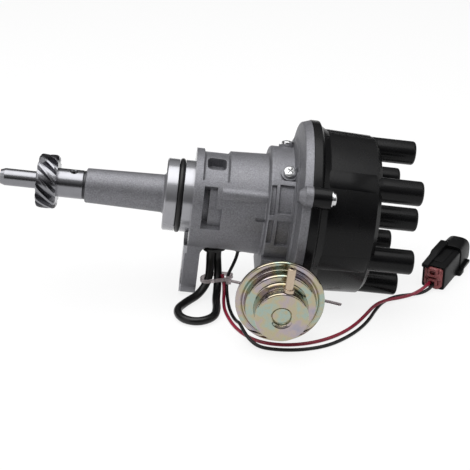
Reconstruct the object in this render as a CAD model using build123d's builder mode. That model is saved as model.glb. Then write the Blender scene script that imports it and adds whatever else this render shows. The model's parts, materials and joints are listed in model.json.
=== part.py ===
"""Ignition distributor with cap, vacuum unit and harness, lying on a table.

Millimetres, +Z up. The shaft runs from the gear at -X to the cap at +X and dips towards the cap.
The origin is on the shaft's axis, at the middle of the pilot's plain land. Heights run along the
shaft from the mounting flange's seat, positive towards the cap.
"""
from build123d import *
from math import asin, atan2, cos, degrees, hypot, pi, radians, sin, tan
import os

os.makedirs("parts", exist_ok=True)

# Lie of the part
tilt = 7.0
seat_height = 14.7
table_z = -73.74

# Clearances
running = 0.05
air = 0.3

# Drive shaft, gear and hub
shaft_radius = 6.2
shaft_tip = -133.0
shaft_end_radius = 6.0
shaft_shoulder = 31.0
shaft_upper_radius = 5.0
shaft_top = 80.0
gear_start = -107.2
gear_end = -93.5
gear_radius = 18.8
gear_root = 14.6
gear_teeth = 13
gear_helix = 45.5
gear_rounding = 2.0
hub_radius = 10.1
hub_end = -75.8
pin_height = -82.8
pin_angle = 10
pin_radius = 2.0
pin_bore = 1.1
pin_countersink = 2.8

# Barrel, pilot and mounting flange
barrel_end = -74.2
barrel_end_radius = 12.0
barrel_radius = 13.3
washer_thickness = 1.4
washer_radius = 9.9
pilot_start = -19.3
pilot_radius = 25.2
pilot_chamfer = 1.0
ring_groove_start = -10.9
ring_groove_end = -6.5
ring_groove_radius = 22.1
ring_section = 1.92
bush_radius = 9.0
lower_bush_length = 20.2
upper_bush_start = 4.0
upper_bush_end = 20.0
relief_radius = 7.2
seal_radius = 11.0
seal_end = 26.0

# Hold-down arm
arm_angle = 175
arm_pad = 2.4
arm_thickness = 9.4
arm_root_fillet = 6.5
arm_reach = 60.6
arm_tip_radius = 11.0
arm_root_half_width = 16.5
arm_slot_radius = 4.5
arm_slot_sweep = 7.0

# Neck and its cast windows
neck_radius = 34.4
neck_end_radius = 35.4
neck_end = 50.0
neck_bore = 30.2
recess_floor = 32.1
recess_start = 6.0
recess_end = 22.0
window_floor = 25.0
window_step = 31.0
top_window_angle = 18.5
top_window_length = 11.0
top_window_width = 10.4
window_rib_start = 19.0
window_rib_angle = 60
window_rib_circle = 31.6
window_rib_radius = 5.2
pocket_angle = 85.5
pocket_length = 6.4
pocket_width = 2.4

# Bowl and rim
bowl_radius = 41.5
bowl_shoulder = 66.2
bowl_floor = 54.0
bowl_bore = 37.2
shoulder_radius = 48.5
rim_start = 70.5
rim_floor = 71.4
rim_radius = 61.8
rim_wall = 5.5
rim_end = 76.0
saddle_radius = 45.0
saddle_end = 67.6
saddle_panel_depth = 2.2
saddle_panels = ((51.4, 54.2, 50, 26), (56.8, 66.0, 49, 25), (51.4, 54.2, 80, 22), (57.2, 66.0, 80, 24))
boss_low = -48.5
boss_high = -22.0
boss_front = 44.0
boss_end = 71.0

# Bowl screws, radial through the bowl into the base plate's tabs
bowl_screw_angles = (-20, 35.5, -145)
bowl_screw_drop = 8.0
bowl_screw_seat = 43.0
screw_radius = 2.0
screw_head_radius = 4.4
screw_head_height = 3.2
screw_seat_radius = 5.4

# Cap, its towers and its two screws
cap_rim_lip = 0.4
cap_rim_end = 82.0
cap_body_start = 88.0
cap_body_step = 5.2
cap_body_draft = 1.3
cap_face = 123.5
cap_face_step = 3.3
cap_wall = 5.3
cap_ceiling = 118.0
tower_set_in = 5.1
tower_angle = 44.9
tower_count = 6
tower_radius = 8.35
tower_top = 151.5
tower_rounding = 2.0
rib_radius = 10.5
socket_radius = 5.6
socket_floor = 130.0
center_tower_top = 159.7
center_socket_floor = 137.0
brush_guide_radius = 5.4
brush_guide_end = 104.0
cap_screw_angle = 60
cap_screw_outset = 0.6
cap_lug_radius = 7.0
cap_lug_end = 88.0
cap_screw_depth = 68.0
cap_washer_radius = 5.6
cap_washer_thickness = 1.0
cap_seal_set_in = 2.0
cap_seal_width = 1.8
cap_seal_height = 1.6

# Terminals, brush and rotor
terminal_radius = 2.4
terminal_end = 94.0
terminal_top = 136.0
center_terminal_radius = 3.6
brush_radius = 2.5
brush_end = 97.3
brush_length = 11.0
rotor_start = 80.6
rotor_hub_radius = 13.5
rotor_top = 95.6
blade_thickness = 1.4
blade_gap = 0.8
blade_width = 9.0

# Centrifugal advance
plate_start = 28.0
plate_thickness = 2.0
plate_radius = 27.0
pivot_circle = 19.0
pivot_radius = 2.0
weight_start = 31.0
weight_thickness = 6.0
weight_circle = 16.5
weight_half_width = 5.0
weight_sweep = 100
toe_circle = 10.0
toe_radius = 1.5
toe_play = 0.4
sleeve_start = 38.3
yoke_start = 38.6
yoke_thickness = 2.0
yoke_radius = 14.5
sleeve_radius = 8.0
sleeve_top = 84.0
spring_height = 43.2
spring_radius = 1.9
spring_wire = 0.8
post_radius = 1.1
plate_post_up = -16.75
plate_post_front = 10.9
yoke_post_up = -11.28
yoke_post_front = -4.1
advance_play = 2.7

# Base plate, pickup plate, reluctor and pickup
base_thickness = 2.0
base_radius = 37.0
collar_radius = 12.5
collar_bore = 10.5
collar_end = 60.0
pickup_thickness = 2.0
pickup_radius = 30.0
link_reach = 35.2
link_pin_radius = 1.3
link_play = 0.7
reluctor_start = 63.0
reluctor_end = 68.5
reluctor_root = 11.0
reluctor_radius = 15.0
reluctor_width = 4.0
pickup_angle = 20
pole_gap = 0.6
pole_radius = 2.0
coil_radius = 5.4
coil_length = 8.0
pole_post_radius = 27.0

# Vacuum unit, its axis crosswise in front of the bowl
unit_height = 62.8
unit_drop = -35.2
unit_flange = 76.7
unit_radius = 29.3
crimp_half = 2.5
crimp_lip = 26.0
sheet = 1.2
ring_wall_radius = 24.7
ring_wall_depth = 10.5
cup_radius = 18.6
cup_face_radius = 17.8
cup_depth = 22.0
button_radius = 7.3
button_height = 3.4
rear_cup_radius = 15.0
rear_cup_front = 62.0
nipple_depth = 18.5
nipple_offset = 2.0
nipple_radius = 2.65
nipple_bore = 1.3
nipple_tip = -1.0
braze_radius = 3.4
diaphragm_thickness = 1.0
rod_radius = 1.5
rod_eye = 2.2
rod_plate_radius = 12.0
rod_channel_radius = 5.0
unit_bolt_spacing = 9.4
bracket_half_width = 6.0
bracket_thickness = 2.5
bracket_screw_length = 9.0
bracket_head_radius = 3.0

# Harness: one sleeve looped back into the neck, two wires, a tie and a connector
sleeve_diameter = 5.8
wire_diameter = 2.4
sleeve_passage = (19.8, 3.4)
sleeve_bores = ((17.3, 5.2), (22.3, 1.6))
passage_span = 6.2
passage_width = 9.0
passage_turn = -36
wire_passage = (37.2, 0)
wire_passage_radius = 3.0
grommet_lip = 1.0
sleeve_route = [
    (27.7, -5.2, -36.7), (26.8, -5.2, -44.6), (26.6, -8.0, -52.5), (25.6, -11.4, -61.5),
    (18.8, -18.8, -69.4), (9.2, -28.0, -70.6), (3.0, -39.0, -70.6), (7.0, -51.4, -70.6),
    (18.5, -56.6, -70.6), (29.6, -49.8, -70.6), (31.4, -37.0, -70.6), (30.6, -25.0, -70.6),
    (31.6, -14.5, -67.6), (32.2, -7.0, -59.4), (31.9, -2.2, -51.6), (31.7, -1.6, -45.2),
    (32.7, -1.6, -37.3),
]
black_route = [
    (47.8, 0.0, -36.6), (46.6, 0.0, -46.5), (43.0, -3.6, -54.0), (39.2, -7.4, -59.8),
    (38.2, -12.4, -66.2), (38.8, -21.5, -71.4), (39.8, -33.0, -72.4), (42.0, -45.0, -72.4),
    (44.6, -54.0, -71.4), (46.6, -63.0, -67.6), (48.8, -73.4, -67.4), (52.0, -82.0, -68.6),
    (58.0, -87.4, -71.6), (67.4, -89.8, -72.4), (79.5, -91.2, -72.4), (92.0, -89.8, -72.4),
    (105.0, -85.2, -72.4),
    (117.0, -76.0, -72.4), (127.5, -64.6, -72.4), (135.5, -52.0, -72.4), (143.0, -38.6, -72.4),
    (151.0, -28.0, -72.4), (161.0, -21.4, -72.4), (171.5, -18.6, -72.2), (181.0, -15.8, -70.4),
    (188.9, -5.5, -68.7), (194.04, 3.15, -68.7),
]
red_route = [
    (35.3, -10.6, -57.6), (36.4, -12.2, -63.4), (36.4, -16.8, -69.2), (36.0, -25.0, -72.4),
    (36.6, -36.0, -72.4), (39.2, -48.0, -72.4), (43.2, -60.0, -72.4), (49.6, -71.0, -72.4),
    (58.0, -79.4, -72.4), (69.0, -83.8, -72.4), (81.0, -84.6, -72.4), (94.0, -82.0, -72.4),
    (106.0, -76.4, -72.4), (117.0, -68.0, -72.4), (126.0, -57.6, -72.4), (133.4, -46.2, -72.4),
    (141.0, -34.4, -72.4), (150.0, -24.6, -72.4), (160.4, -18.2, -72.4), (170.6, -15.0, -72.2),
    (178.6, -12.4, -70.2), (186.0, -3.6, -68.7), (191.12, 4.9, -68.7),
]
tie_height = -60.6
tie_strands = [
    (25.5, -10.5, 3.0), (24.2, -12.0, 3.0), (32.1, -7.2, 2.95), (32.0, -9.5, 2.95),
    (35.5, -11.3, 1.25), (39.9, -7.0, 1.3), (38.9, -9.2, 1.25),
]
tie_slack = 0.7
tie_band = 1.0
tie_width = 2.6
tie_head = (39.6, -14.3, -60.6)
tail_route = [
    (40.6, -14.3, -60.9), (50.0, -14.2, -63.4), (61.0, -14.2, -68.0), (74.0, -14.8, -72.2),
    (90.0, -17.6, -73.1), (107.5, -22.4, -73.1), (118.8, -28.8, -73.1),
]

# Connector, flat on the table, its entry face towards the wires
connector_x = 188.0
connector_y = -3.6
connector_yaw = 59.0
connector_width = 17.4
connector_height = 18.6
connector_length = 50.0
connector_wall = 1.6
insert_proud = 3.0
insert_length = 24.0
cavity_width = 8.0
cavity_height = 5.6
cavity_depth = 12.0
cavity_rise = 8.2

# Sizes that follow from the ones above
rim_bore = rim_radius - rim_wall
bowl_screw_height = rim_start - bowl_screw_drop
cap_rim_radius = rim_radius + cap_rim_lip
cap_body_radius = rim_radius - cap_body_step
cap_body_end_radius = cap_body_radius - cap_body_draft
cap_face_radius = cap_body_end_radius - cap_face_step
cap_bore = cap_body_end_radius - cap_wall
cap_screw_circle = rim_radius + cap_screw_outset
cap_seal_outer = rim_radius - cap_seal_set_in
cap_seal_inner = cap_seal_outer - cap_seal_width
tower_circle = cap_face_radius - tower_set_in

# Directions and planes worked out from the lie
axis_dir = Vector(cos(radians(tilt)), 0, -sin(radians(tilt)))
up_dir = Vector(sin(radians(tilt)), 0, cos(radians(tilt)))
front_dir = Vector(0, -1, 0)


def point(height, up=0, front=0):
    """Point at a height on the shaft's axis, moved up and to the front."""
    return axis_dir * (height + seat_height) + up_dir * up + front_dir * front


def radial(angle):
    """Direction across the shaft, from straight up (0) towards the front (90)."""
    return up_dir * cos(radians(angle)) + front_dir * sin(radians(angle))


def across(height):
    """Plane across the shaft; x is up and y is to the front."""
    return Plane(origin=point(height), x_dir=up_dir, z_dir=axis_dir)


def meridian(angle):
    """Plane through the shaft's axis; x is the height and y the radius."""
    return Plane(origin=point(0), x_dir=axis_dir, z_dir=axis_dir.cross(radial(angle)))


def outward(height, angle, radius):
    """Plane facing outwards at a height, an angle and a radius; x runs along the shaft."""
    origin = point(height) + radial(angle) * radius
    return Plane(origin=origin, x_dir=axis_dir, z_dir=radial(angle))


def underside(height, front, depth):
    """Plane facing straight down under the neck; x runs along the shaft and y to the front."""
    return Plane(origin=point(height, -depth, front), x_dir=axis_dir, z_dir=-up_dir)


shaft_line = Axis(point(0), axis_dir)
bracket_plane = Plane(origin=point(unit_height, unit_drop, boss_front), x_dir=axis_dir, z_dir=front_dir)
nipple_plane = Plane(origin=point(unit_height + nipple_offset, unit_drop, unit_flange + nipple_depth),
                     x_dir=front_dir, z_dir=up_dir)
unit_plane = Plane(origin=point(unit_height, unit_drop, unit_flange), x_dir=front_dir, z_dir=-axis_dir)
unit_line = Axis(unit_plane.origin, front_dir)


def section(corners, plane):
    """Closed outline in a plane from corners (x, y), or (x, y, rounding)."""
    with BuildSketch(plane) as outline:
        with BuildLine():
            Polyline(*[corner[:2] for corner in corners], close=True)
        make_face()
        for corner in corners:
            if len(corner) == 3:
                fillet(outline.vertices().sort_by_distance((corner[0], corner[1]))[0], corner[2])
    return outline.sketch


def turned(*corners):
    """Outline on the shaft's lengthwise plane, corners as (height, radius)."""
    return section(corners, meridian(0))


def tube_outline(start, end, outer, inner):
    """Outline of a plain ring on the shaft between two heights."""
    return turned((start, inner), (end, inner), (end, outer), (start, outer))


def arc_radii(route):
    """Largest tangent arc at each inner point: 0.45 of the shorter run over the half turn's tangent."""
    radii = []
    for before, here, after in zip(route, route[1:], route[2:]):
        first = Vector(*here) - Vector(*before)
        second = Vector(*after) - Vector(*here)
        half_turn = radians(first.get_angle(second)) / 2
        radii.append(0.45 * min(first.length, second.length) / tan(half_turn))
    return radii


def write(builder, label):
    """Label a finished piece and write it."""
    builder.part.label = label
    export_step(builder.part, f"parts/{label}.step")


# Cast housing
with BuildSketch() as arm_outline:
    flank_turn = asin((arm_root_half_width - arm_tip_radius) / arm_reach)
    tip_corner = (arm_reach + arm_tip_radius * sin(flank_turn), arm_tip_radius * cos(flank_turn))
    with BuildLine():
        Polyline(
            (0, arm_root_half_width), tip_corner, (tip_corner[0], -tip_corner[1]),
            (0, -arm_root_half_width), close=True)
    make_face()
    with Locations((arm_reach, 0)):
        Circle(arm_tip_radius)

with BuildPart() as arm_root:
    with BuildSketch(meridian(arm_angle - 30)):
        with Locations((arm_thickness + arm_root_fillet / 2, neck_radius + arm_root_fillet / 2 - 1)):
            Rectangle(arm_root_fillet, arm_root_fillet + 2)
        with Locations((arm_thickness + arm_root_fillet - 0.2, neck_radius + arm_root_fillet - 0.2)):
            Circle(arm_root_fillet, mode=Mode.SUBTRACT)
    revolve(axis=shaft_line, revolution_arc=60)
    with BuildSketch(across(0)):
        add(arm_outline.sketch, rotation=arm_angle)
    extrude(amount=arm_thickness + arm_root_fillet, mode=Mode.INTERSECT)

with BuildPart() as housing:
    revolve(turned(
        (barrel_end, 0), (barrel_end, barrel_end_radius, 1.2), (pilot_start, barrel_radius, 2.0),
        (pilot_start, pilot_radius - pilot_chamfer), (pilot_start + pilot_chamfer, pilot_radius),
        (ring_groove_start, pilot_radius), (ring_groove_start, ring_groove_radius),
        (ring_groove_end, ring_groove_radius), (ring_groove_end, pilot_radius), (0, pilot_radius),
        (0, neck_radius), (neck_end / 2, neck_radius), (neck_end, neck_end_radius, 1.5),
        (neck_end, bowl_radius, 2.0), (bowl_shoulder, bowl_radius, 1.2),
        (bowl_shoulder + 0.8, shoulder_radius, 1.0), (rim_start - 2.2, shoulder_radius + 2, 1.5),
        (rim_start, rim_radius - 1.8, 1.5), (rim_end, rim_radius), (rim_end, 0),
    ), axis=shaft_line)
    # Hold-down arm with its machined pad
    with BuildSketch(across(0)):
        add(arm_outline.sketch, rotation=arm_angle)
    extrude(amount=arm_thickness)
    with BuildSketch(across(-arm_pad)):
        add(arm_outline.sketch, rotation=arm_angle)
        Circle(neck_radius, mode=Mode.SUBTRACT)
    extrude(amount=arm_pad)
    add(arm_root.part)
    # Rib along the neck, from the stepped window to the bowl
    with BuildSketch(across(window_rib_start)):
        with PolarLocations(window_rib_circle, 1, start_angle=window_rib_angle):
            Circle(window_rib_radius)
    extrude(amount=neck_end - window_rib_start)
    # Saddle on the near side of the bowl and the boss that carries the vacuum unit
    revolve(section([
        (neck_end, bowl_radius - 6), (neck_end, saddle_radius, 1.5), (saddle_end, saddle_radius, 1.5),
        (saddle_end, bowl_radius - 6),
    ], meridian(45)), axis=shaft_line, revolution_arc=85)
    with BuildSketch(across(neck_end)):
        with BuildLine():
            Polyline(
                (boss_low, -14), (boss_low, boss_front), (boss_high, boss_front),
                (boss_high, -14), close=True)
        make_face()
    extrude(amount=boss_end - neck_end)
    # Screw bosses on the bowl
    for angle in bowl_screw_angles:
        with BuildSketch(outward(bowl_screw_height, angle, bowl_bore)):
            Circle(screw_seat_radius + 0.6)
        extrude(amount=bowl_screw_seat - bowl_bore)
    # Ears for the cap screws, each with a cone and a web under the rim
    with BuildSketch(across(rim_start + 0.5)):
        with PolarLocations(cap_screw_circle, 2, start_angle=cap_screw_angle):
            Circle(cap_lug_radius)
            with Locations((-cap_lug_radius, 0)):
                Rectangle(2 * cap_lug_radius, 2 * cap_lug_radius)
    extrude(amount=rim_end - rim_start - 0.5)
    for angle in (cap_screw_angle, cap_screw_angle + 180):
        with BuildSketch(across(cap_screw_depth - 1)):
            with PolarLocations(cap_screw_circle, 1, start_angle=angle):
                Circle(screw_radius + 1.4)
        with BuildSketch(across(rim_start + 0.5)):
            with PolarLocations(cap_screw_circle, 1, start_angle=angle):
                Circle(cap_lug_radius - 0.5)
        loft()
        with BuildSketch(across(cap_screw_depth - 0.5)):
            with PolarLocations((shoulder_radius + cap_screw_circle) / 2, 1, start_angle=angle):
                Rectangle(cap_screw_circle - shoulder_radius, 5)
        extrude(amount=rim_start - cap_screw_depth + 1)
    # Inside: bushes, seal pocket, neck, bowl and rim
    revolve(turned(
        (barrel_end - 1, 0), (barrel_end - 1, bush_radius), (barrel_end + lower_bush_length, bush_radius),
        (barrel_end + lower_bush_length, relief_radius), (upper_bush_start, relief_radius),
        (upper_bush_start, bush_radius), (upper_bush_end, bush_radius), (upper_bush_end, seal_radius),
        (seal_end, seal_radius), (seal_end, neck_bore), (bowl_floor, neck_bore),
        (bowl_floor, bowl_bore), (rim_floor - 2.5, bowl_bore), (rim_floor, rim_bore),
        (rim_end + 1, rim_bore), (rim_end + 1, 0),
    ), axis=shaft_line, mode=Mode.SUBTRACT)
    # Recess between the flange and the neck, on top, with a deep window in it
    revolve(section([
        (recess_start, recess_floor, 1.6), (recess_end, recess_floor, 1.6), (recess_end + 4, neck_radius + 4),
        (recess_start - 2, neck_radius + 4),
    ], meridian(-40)), axis=shaft_line, revolution_arc=87, mode=Mode.SUBTRACT)
    with BuildSketch(outward((recess_start + recess_end) / 2 + 0.2, top_window_angle, window_floor)):
        RectangleRounded(top_window_length, top_window_width, 2.4)
    extrude(amount=neck_radius, taper=-8, mode=Mode.SUBTRACT)
    # Stepped window on the near side, with a deep slot along the flange
    revolve(section([
        (recess_start + 1, window_step), (16, window_step), (16, neck_radius + 4),
        (recess_start + 1, neck_radius + 4),
    ], meridian(54)), axis=shaft_line, revolution_arc=24, mode=Mode.SUBTRACT)
    revolve(section([
        (recess_start + 1, window_step - 1), (20, window_step - 1), (20, neck_radius + 4),
        (recess_start + 1, neck_radius + 4),
    ], meridian(78)), axis=shaft_line, revolution_arc=27, mode=Mode.SUBTRACT)
    revolve(section([
        (recess_start + 1, window_floor), (11, window_floor), (11, neck_radius + 4),
        (recess_start + 1, neck_radius + 4),
    ], meridian(54)), axis=shaft_line, revolution_arc=51, mode=Mode.SUBTRACT)
    # Panels sunk into the saddle
    for low, high, start, span in saddle_panels:
        revolve(section([
            (low, saddle_radius - saddle_panel_depth, 0.6), (high, saddle_radius - saddle_panel_depth, 0.6),
            (high + 0.6, saddle_radius + 2), (low - 0.6, saddle_radius + 2),
        ], meridian(start)), axis=shaft_line, revolution_arc=span, mode=Mode.SUBTRACT)
    # Small pocket in the neck beside the saddle
    with BuildSketch(outward(neck_end - pocket_length / 2 - 0.3, pocket_angle, neck_end_radius - 1.5)):
        Rectangle(pocket_length, pocket_width)
    extrude(amount=5, mode=Mode.SUBTRACT)
    # Clearance round the bowl screws, and their holes
    for angle in bowl_screw_angles:
        with BuildSketch(outward(bowl_screw_height, angle, bowl_screw_seat)):
            Circle(screw_seat_radius)
        extrude(amount=12, mode=Mode.SUBTRACT)
        with BuildSketch(outward(bowl_screw_height, angle, bowl_bore - 1)):
            Circle(screw_radius)
        extrude(amount=12, mode=Mode.SUBTRACT)
    # Blind holes of the cap screws
    with BuildSketch(across(cap_screw_depth)):
        with PolarLocations(cap_screw_circle, 2, start_angle=cap_screw_angle):
            Circle(screw_radius)
    extrude(amount=rim_end - cap_screw_depth + 1, mode=Mode.SUBTRACT)
    # Slot in the arm for the hold-down bolt
    with BuildSketch(across(-arm_pad - 1)):
        SlotArc(
            CenterArc((0, 0), arm_reach, arm_angle - arm_slot_sweep / 2, arm_slot_sweep, mode=Mode.PRIVATE),
            2 * arm_slot_radius)
    extrude(amount=arm_thickness + arm_pad + 2, mode=Mode.SUBTRACT)
    # Spot face for the vacuum unit's bracket
    with BuildSketch(bracket_plane):
        Rectangle(2 * bracket_half_width + 0.6, 2 * unit_bolt_spacing + 9)
    extrude(amount=20, mode=Mode.SUBTRACT)
    # Channel for the pull rod through the boss
    with BuildSketch(bracket_plane.offset(-boss_front - 8)):
        Circle(rod_channel_radius)
    extrude(amount=boss_front + 12, mode=Mode.SUBTRACT)
    # Threaded holes for the bracket's screws
    with BuildSketch(bracket_plane.offset(-bracket_screw_length)):
        with Locations((0, unit_bolt_spacing), (0, -unit_bolt_spacing)):
            Circle(screw_radius)
    extrude(amount=12, mode=Mode.SUBTRACT)
    # Wire passages through the neck's underside, with room for the sleeve grommet's lip
    with BuildSketch(underside(*sleeve_passage, 24)):
        SlotCenterToCenter(passage_span, passage_width, rotation=passage_turn)
    extrude(amount=20, mode=Mode.SUBTRACT)
    with BuildSketch(underside(*sleeve_passage, neck_radius + 0.1)):
        SlotCenterToCenter(passage_span, passage_width + 2 * grommet_lip + 2 * air, rotation=passage_turn)
    extrude(amount=12, mode=Mode.SUBTRACT)
    with BuildSketch(underside(*wire_passage, 24)):
        Circle(wire_passage_radius)
    extrude(amount=20, mode=Mode.SUBTRACT)
write(housing, "housing")

# Drive shaft, gear, cross pin and thrust washer
with BuildPart() as drive_shaft:
    revolve(turned(
        (shaft_tip, 0), (shaft_tip, shaft_radius - 1.2), (shaft_tip + 3, shaft_end_radius),
        (gear_start, shaft_end_radius), (gear_start, shaft_radius), (shaft_shoulder, shaft_radius), (shaft_shoulder, shaft_upper_radius),
        (shaft_top, shaft_upper_radius), (shaft_top, 0),
    ), axis=shaft_line)
    with BuildSketch(outward(pin_height, pin_angle, -shaft_radius - 1)):
        Circle(pin_radius)
    extrude(amount=2 * shaft_radius + 2, mode=Mode.SUBTRACT)
write(drive_shaft, "drive_shaft")

tooth_pitch = 360 / gear_teeth
gear_width = gear_end - gear_start
gear_twist = degrees(gear_width * tan(radians(gear_helix)) / gear_radius)
tooth_half = [
    (radius * cos(radians(share * tooth_pitch)), radius * sin(radians(share * tooth_pitch)))
    for radius, share in ((gear_root - 0.4, 0.32), ((gear_root + gear_radius) / 2, 0.21), (gear_radius, 0.12))
]
with BuildSketch() as tooth:
    with BuildLine():
        Polyline(*tooth_half, *[(x, -y) for x, y in reversed(tooth_half)], close=True)
    make_face()
with BuildSketch() as tooth_section:
    Circle(gear_root)
    with PolarLocations(0, gear_teeth):
        add(tooth.sketch)
with BuildPart() as drive_gear:
    add(Solid.extrude_linear_with_rotation(
        across(gear_start).from_local_coords(tooth_section.sketch.face()),
        point(gear_start), axis_dir * gear_width, gear_twist))
    revolve(turned(
        (gear_start, 0), (gear_start, gear_radius - gear_rounding), (gear_start + 0.6, gear_radius - 0.6),
        (gear_start + gear_rounding, gear_radius), (gear_end - gear_rounding, gear_radius),
        (gear_end - 0.6, gear_radius - 0.6), (gear_end, gear_radius - gear_rounding), (gear_end, 0),
    ), axis=shaft_line, mode=Mode.INTERSECT)
    revolve(turned(
        (gear_end - 1, 0), (gear_end - 1, hub_radius), (hub_end, hub_radius, 0.5), (hub_end, 0),
    ), axis=shaft_line)
    revolve(tube_outline(gear_start - 1, hub_end + 1, shaft_radius, 0), axis=shaft_line, mode=Mode.SUBTRACT)
    with BuildSketch(outward(pin_height, pin_angle, -hub_radius - 1)):
        Circle(pin_radius)
    extrude(amount=2 * hub_radius + 2, mode=Mode.SUBTRACT)
    for turn in (0, 180):
        with BuildSketch(outward(pin_height, pin_angle + turn, hub_radius - 1.2)):
            Circle(pin_radius)
        with BuildSketch(outward(pin_height, pin_angle + turn, hub_radius + 0.1)):
            Circle(pin_countersink)
        loft(mode=Mode.SUBTRACT)
write(drive_gear, "drive_gear")

with BuildPart() as gear_pin:
    with BuildSketch(outward(pin_height, pin_angle, 1.0 - hub_radius)):
        Circle(pin_radius)
        Circle(pin_bore, mode=Mode.SUBTRACT)
        with Locations((pin_radius, 0)):
            Rectangle(2 * pin_radius, 0.5, mode=Mode.SUBTRACT)
    extrude(amount=2 * (hub_radius - 1.0))
write(gear_pin, "gear_pin")

with BuildPart() as thrust_washer:
    revolve(tube_outline(barrel_end - washer_thickness, barrel_end, washer_radius, shaft_radius + running),
            axis=shaft_line)
write(thrust_washer, "thrust_washer")

# Bushes, oil seal and pilot ring
bush_bore = shaft_radius + running
with BuildPart() as lower_bush:
    revolve(tube_outline(barrel_end, barrel_end + lower_bush_length, bush_radius, bush_bore), axis=shaft_line)
write(lower_bush, "lower_bush")

with BuildPart() as upper_bush:
    revolve(tube_outline(upper_bush_start, upper_bush_end, bush_radius, bush_bore), axis=shaft_line)
write(upper_bush, "upper_bush")

with BuildPart() as shaft_seal:
    revolve(turned(
        (upper_bush_end, shaft_radius + 1.4), (upper_bush_end, seal_radius), (seal_end - 0.5, seal_radius),
        (seal_end - 0.5, shaft_radius + 2.0), (seal_end - 2, shaft_radius + running),
        (seal_end - 3, shaft_radius + running),
    ), axis=shaft_line)
write(shaft_seal, "shaft_seal")

with BuildPart() as pilot_ring:
    ring_center = (ring_groove_start + ring_groove_end) / 2
    with BuildSketch(meridian(0)):
        with Locations((ring_center, ring_groove_radius + ring_section)):
            Circle(ring_section)
    revolve(axis=shaft_line)
write(pilot_ring, "pilot_ring")

# Centrifugal advance: weight plate, weights, springs and sleeve
spring_aim = degrees(atan2(yoke_post_front - plate_post_front, yoke_post_up - plate_post_up))
spring_span = hypot(yoke_post_front - plate_post_front, yoke_post_up - plate_post_up)
post_top = spring_height + spring_radius + 0.6

with BuildPart() as weight_plate:
    revolve(tube_outline(plate_start, plate_start + plate_thickness, plate_radius, shaft_radius),
            axis=shaft_line)
    with BuildSketch(across(plate_start + plate_thickness)):
        with PolarLocations(pivot_circle, 2):
            Circle(pivot_radius)
    extrude(amount=weight_start + weight_thickness + 0.6 - plate_start - plate_thickness)
    with BuildSketch(across(plate_start + plate_thickness)):
        with PolarLocations(0, 2):
            with Locations((plate_post_up, plate_post_front)):
                Circle(post_radius)
    extrude(amount=post_top - plate_start - plate_thickness)
write(weight_plate, "weight_plate")

for index in (0, 1):
    half_turn = 180 * index
    with BuildPart() as weight:
        with BuildSketch(across(weight_start)):
            with Locations(Rot(0, 0, half_turn)):
                SlotArc(CenterArc((0, 0), weight_circle, 0, weight_sweep, mode=Mode.PRIVATE),
                        2 * weight_half_width)
                with Locations((pivot_circle, 0)):
                    Circle(weight_half_width)
                with Locations(((pivot_circle + toe_circle) / 2, 0)):
                    SlotCenterToCenter(pivot_circle - toe_circle, 6)
                with Locations((pivot_circle, 0)):
                    Circle(pivot_radius + running, mode=Mode.SUBTRACT)
        extrude(amount=weight_thickness)
        with BuildSketch(across(weight_start + weight_thickness)):
            with Locations(Rot(0, 0, half_turn)):
                with Locations((toe_circle, 0)):
                    Circle(toe_radius)
        extrude(amount=yoke_start + yoke_thickness - weight_start - weight_thickness)
    write(weight, f"weight_{index + 1}")

with BuildPart() as advance_springs:
    for half_turn in (0, 180):
        with BuildSketch(across(spring_height - spring_wire / 2)):
            with Locations(Rot(0, 0, half_turn)):
                with Locations(Location((plate_post_up, plate_post_front), spring_aim)):
                    with Locations((spring_span + advance_play / 2, 0)):
                        SlotCenterToCenter(advance_play + 0.8, 2 * (post_radius + air + spring_wire))
                        SlotCenterToCenter(advance_play + 0.8, 2 * (post_radius + air), mode=Mode.SUBTRACT)
                    Circle(post_radius + spring_wire)
                    Circle(post_radius, mode=Mode.SUBTRACT)
        extrude(amount=spring_wire)
        start = Vector(plate_post_up, plate_post_front, 0).rotate(Axis.Z, half_turn)
        course = Vector(cos(radians(spring_aim)), sin(radians(spring_aim)), 0).rotate(Axis.Z, half_turn)
        body_start = start + course * (post_radius + spring_wire / 2)
        body_length = spring_span - 0.4 - 2 * post_radius - spring_wire - air
        body_plane = Plane(
            origin=point(spring_height, body_start.X, body_start.Y),
            x_dir=axis_dir, z_dir=up_dir * course.X + front_dir * course.Y)
        with BuildSketch(body_plane):
            Circle(spring_radius)
        extrude(amount=body_length)
        with BuildSketch(body_plane.offset(spring_wire)):
            Circle(spring_radius - spring_wire)
        extrude(amount=body_length - 2 * spring_wire, mode=Mode.SUBTRACT)
write(advance_springs, "advance_springs")

with BuildPart() as advance_sleeve:
    revolve(turned(
        (sleeve_start, shaft_upper_radius + running), (sleeve_top, shaft_upper_radius + running),
        (sleeve_top, sleeve_radius), (yoke_start + yoke_thickness, sleeve_radius, 0.8),
        (yoke_start + yoke_thickness, yoke_radius), (yoke_start, yoke_radius), (yoke_start, sleeve_radius),
        (sleeve_start, sleeve_radius),
    ), axis=shaft_line)
    with BuildSketch(across(yoke_start)):
        with PolarLocations(toe_circle + 0.3, 2):
            SlotCenterToCenter(0.8, 2 * (toe_radius + toe_play))
    extrude(amount=yoke_thickness, mode=Mode.SUBTRACT)
    with BuildSketch(across(yoke_start + yoke_thickness)):
        with PolarLocations(0, 2):
            with Locations((yoke_post_up, yoke_post_front)):
                Circle(post_radius)
    extrude(amount=post_top - yoke_start - yoke_thickness)
write(advance_sleeve, "advance_sleeve")

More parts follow.
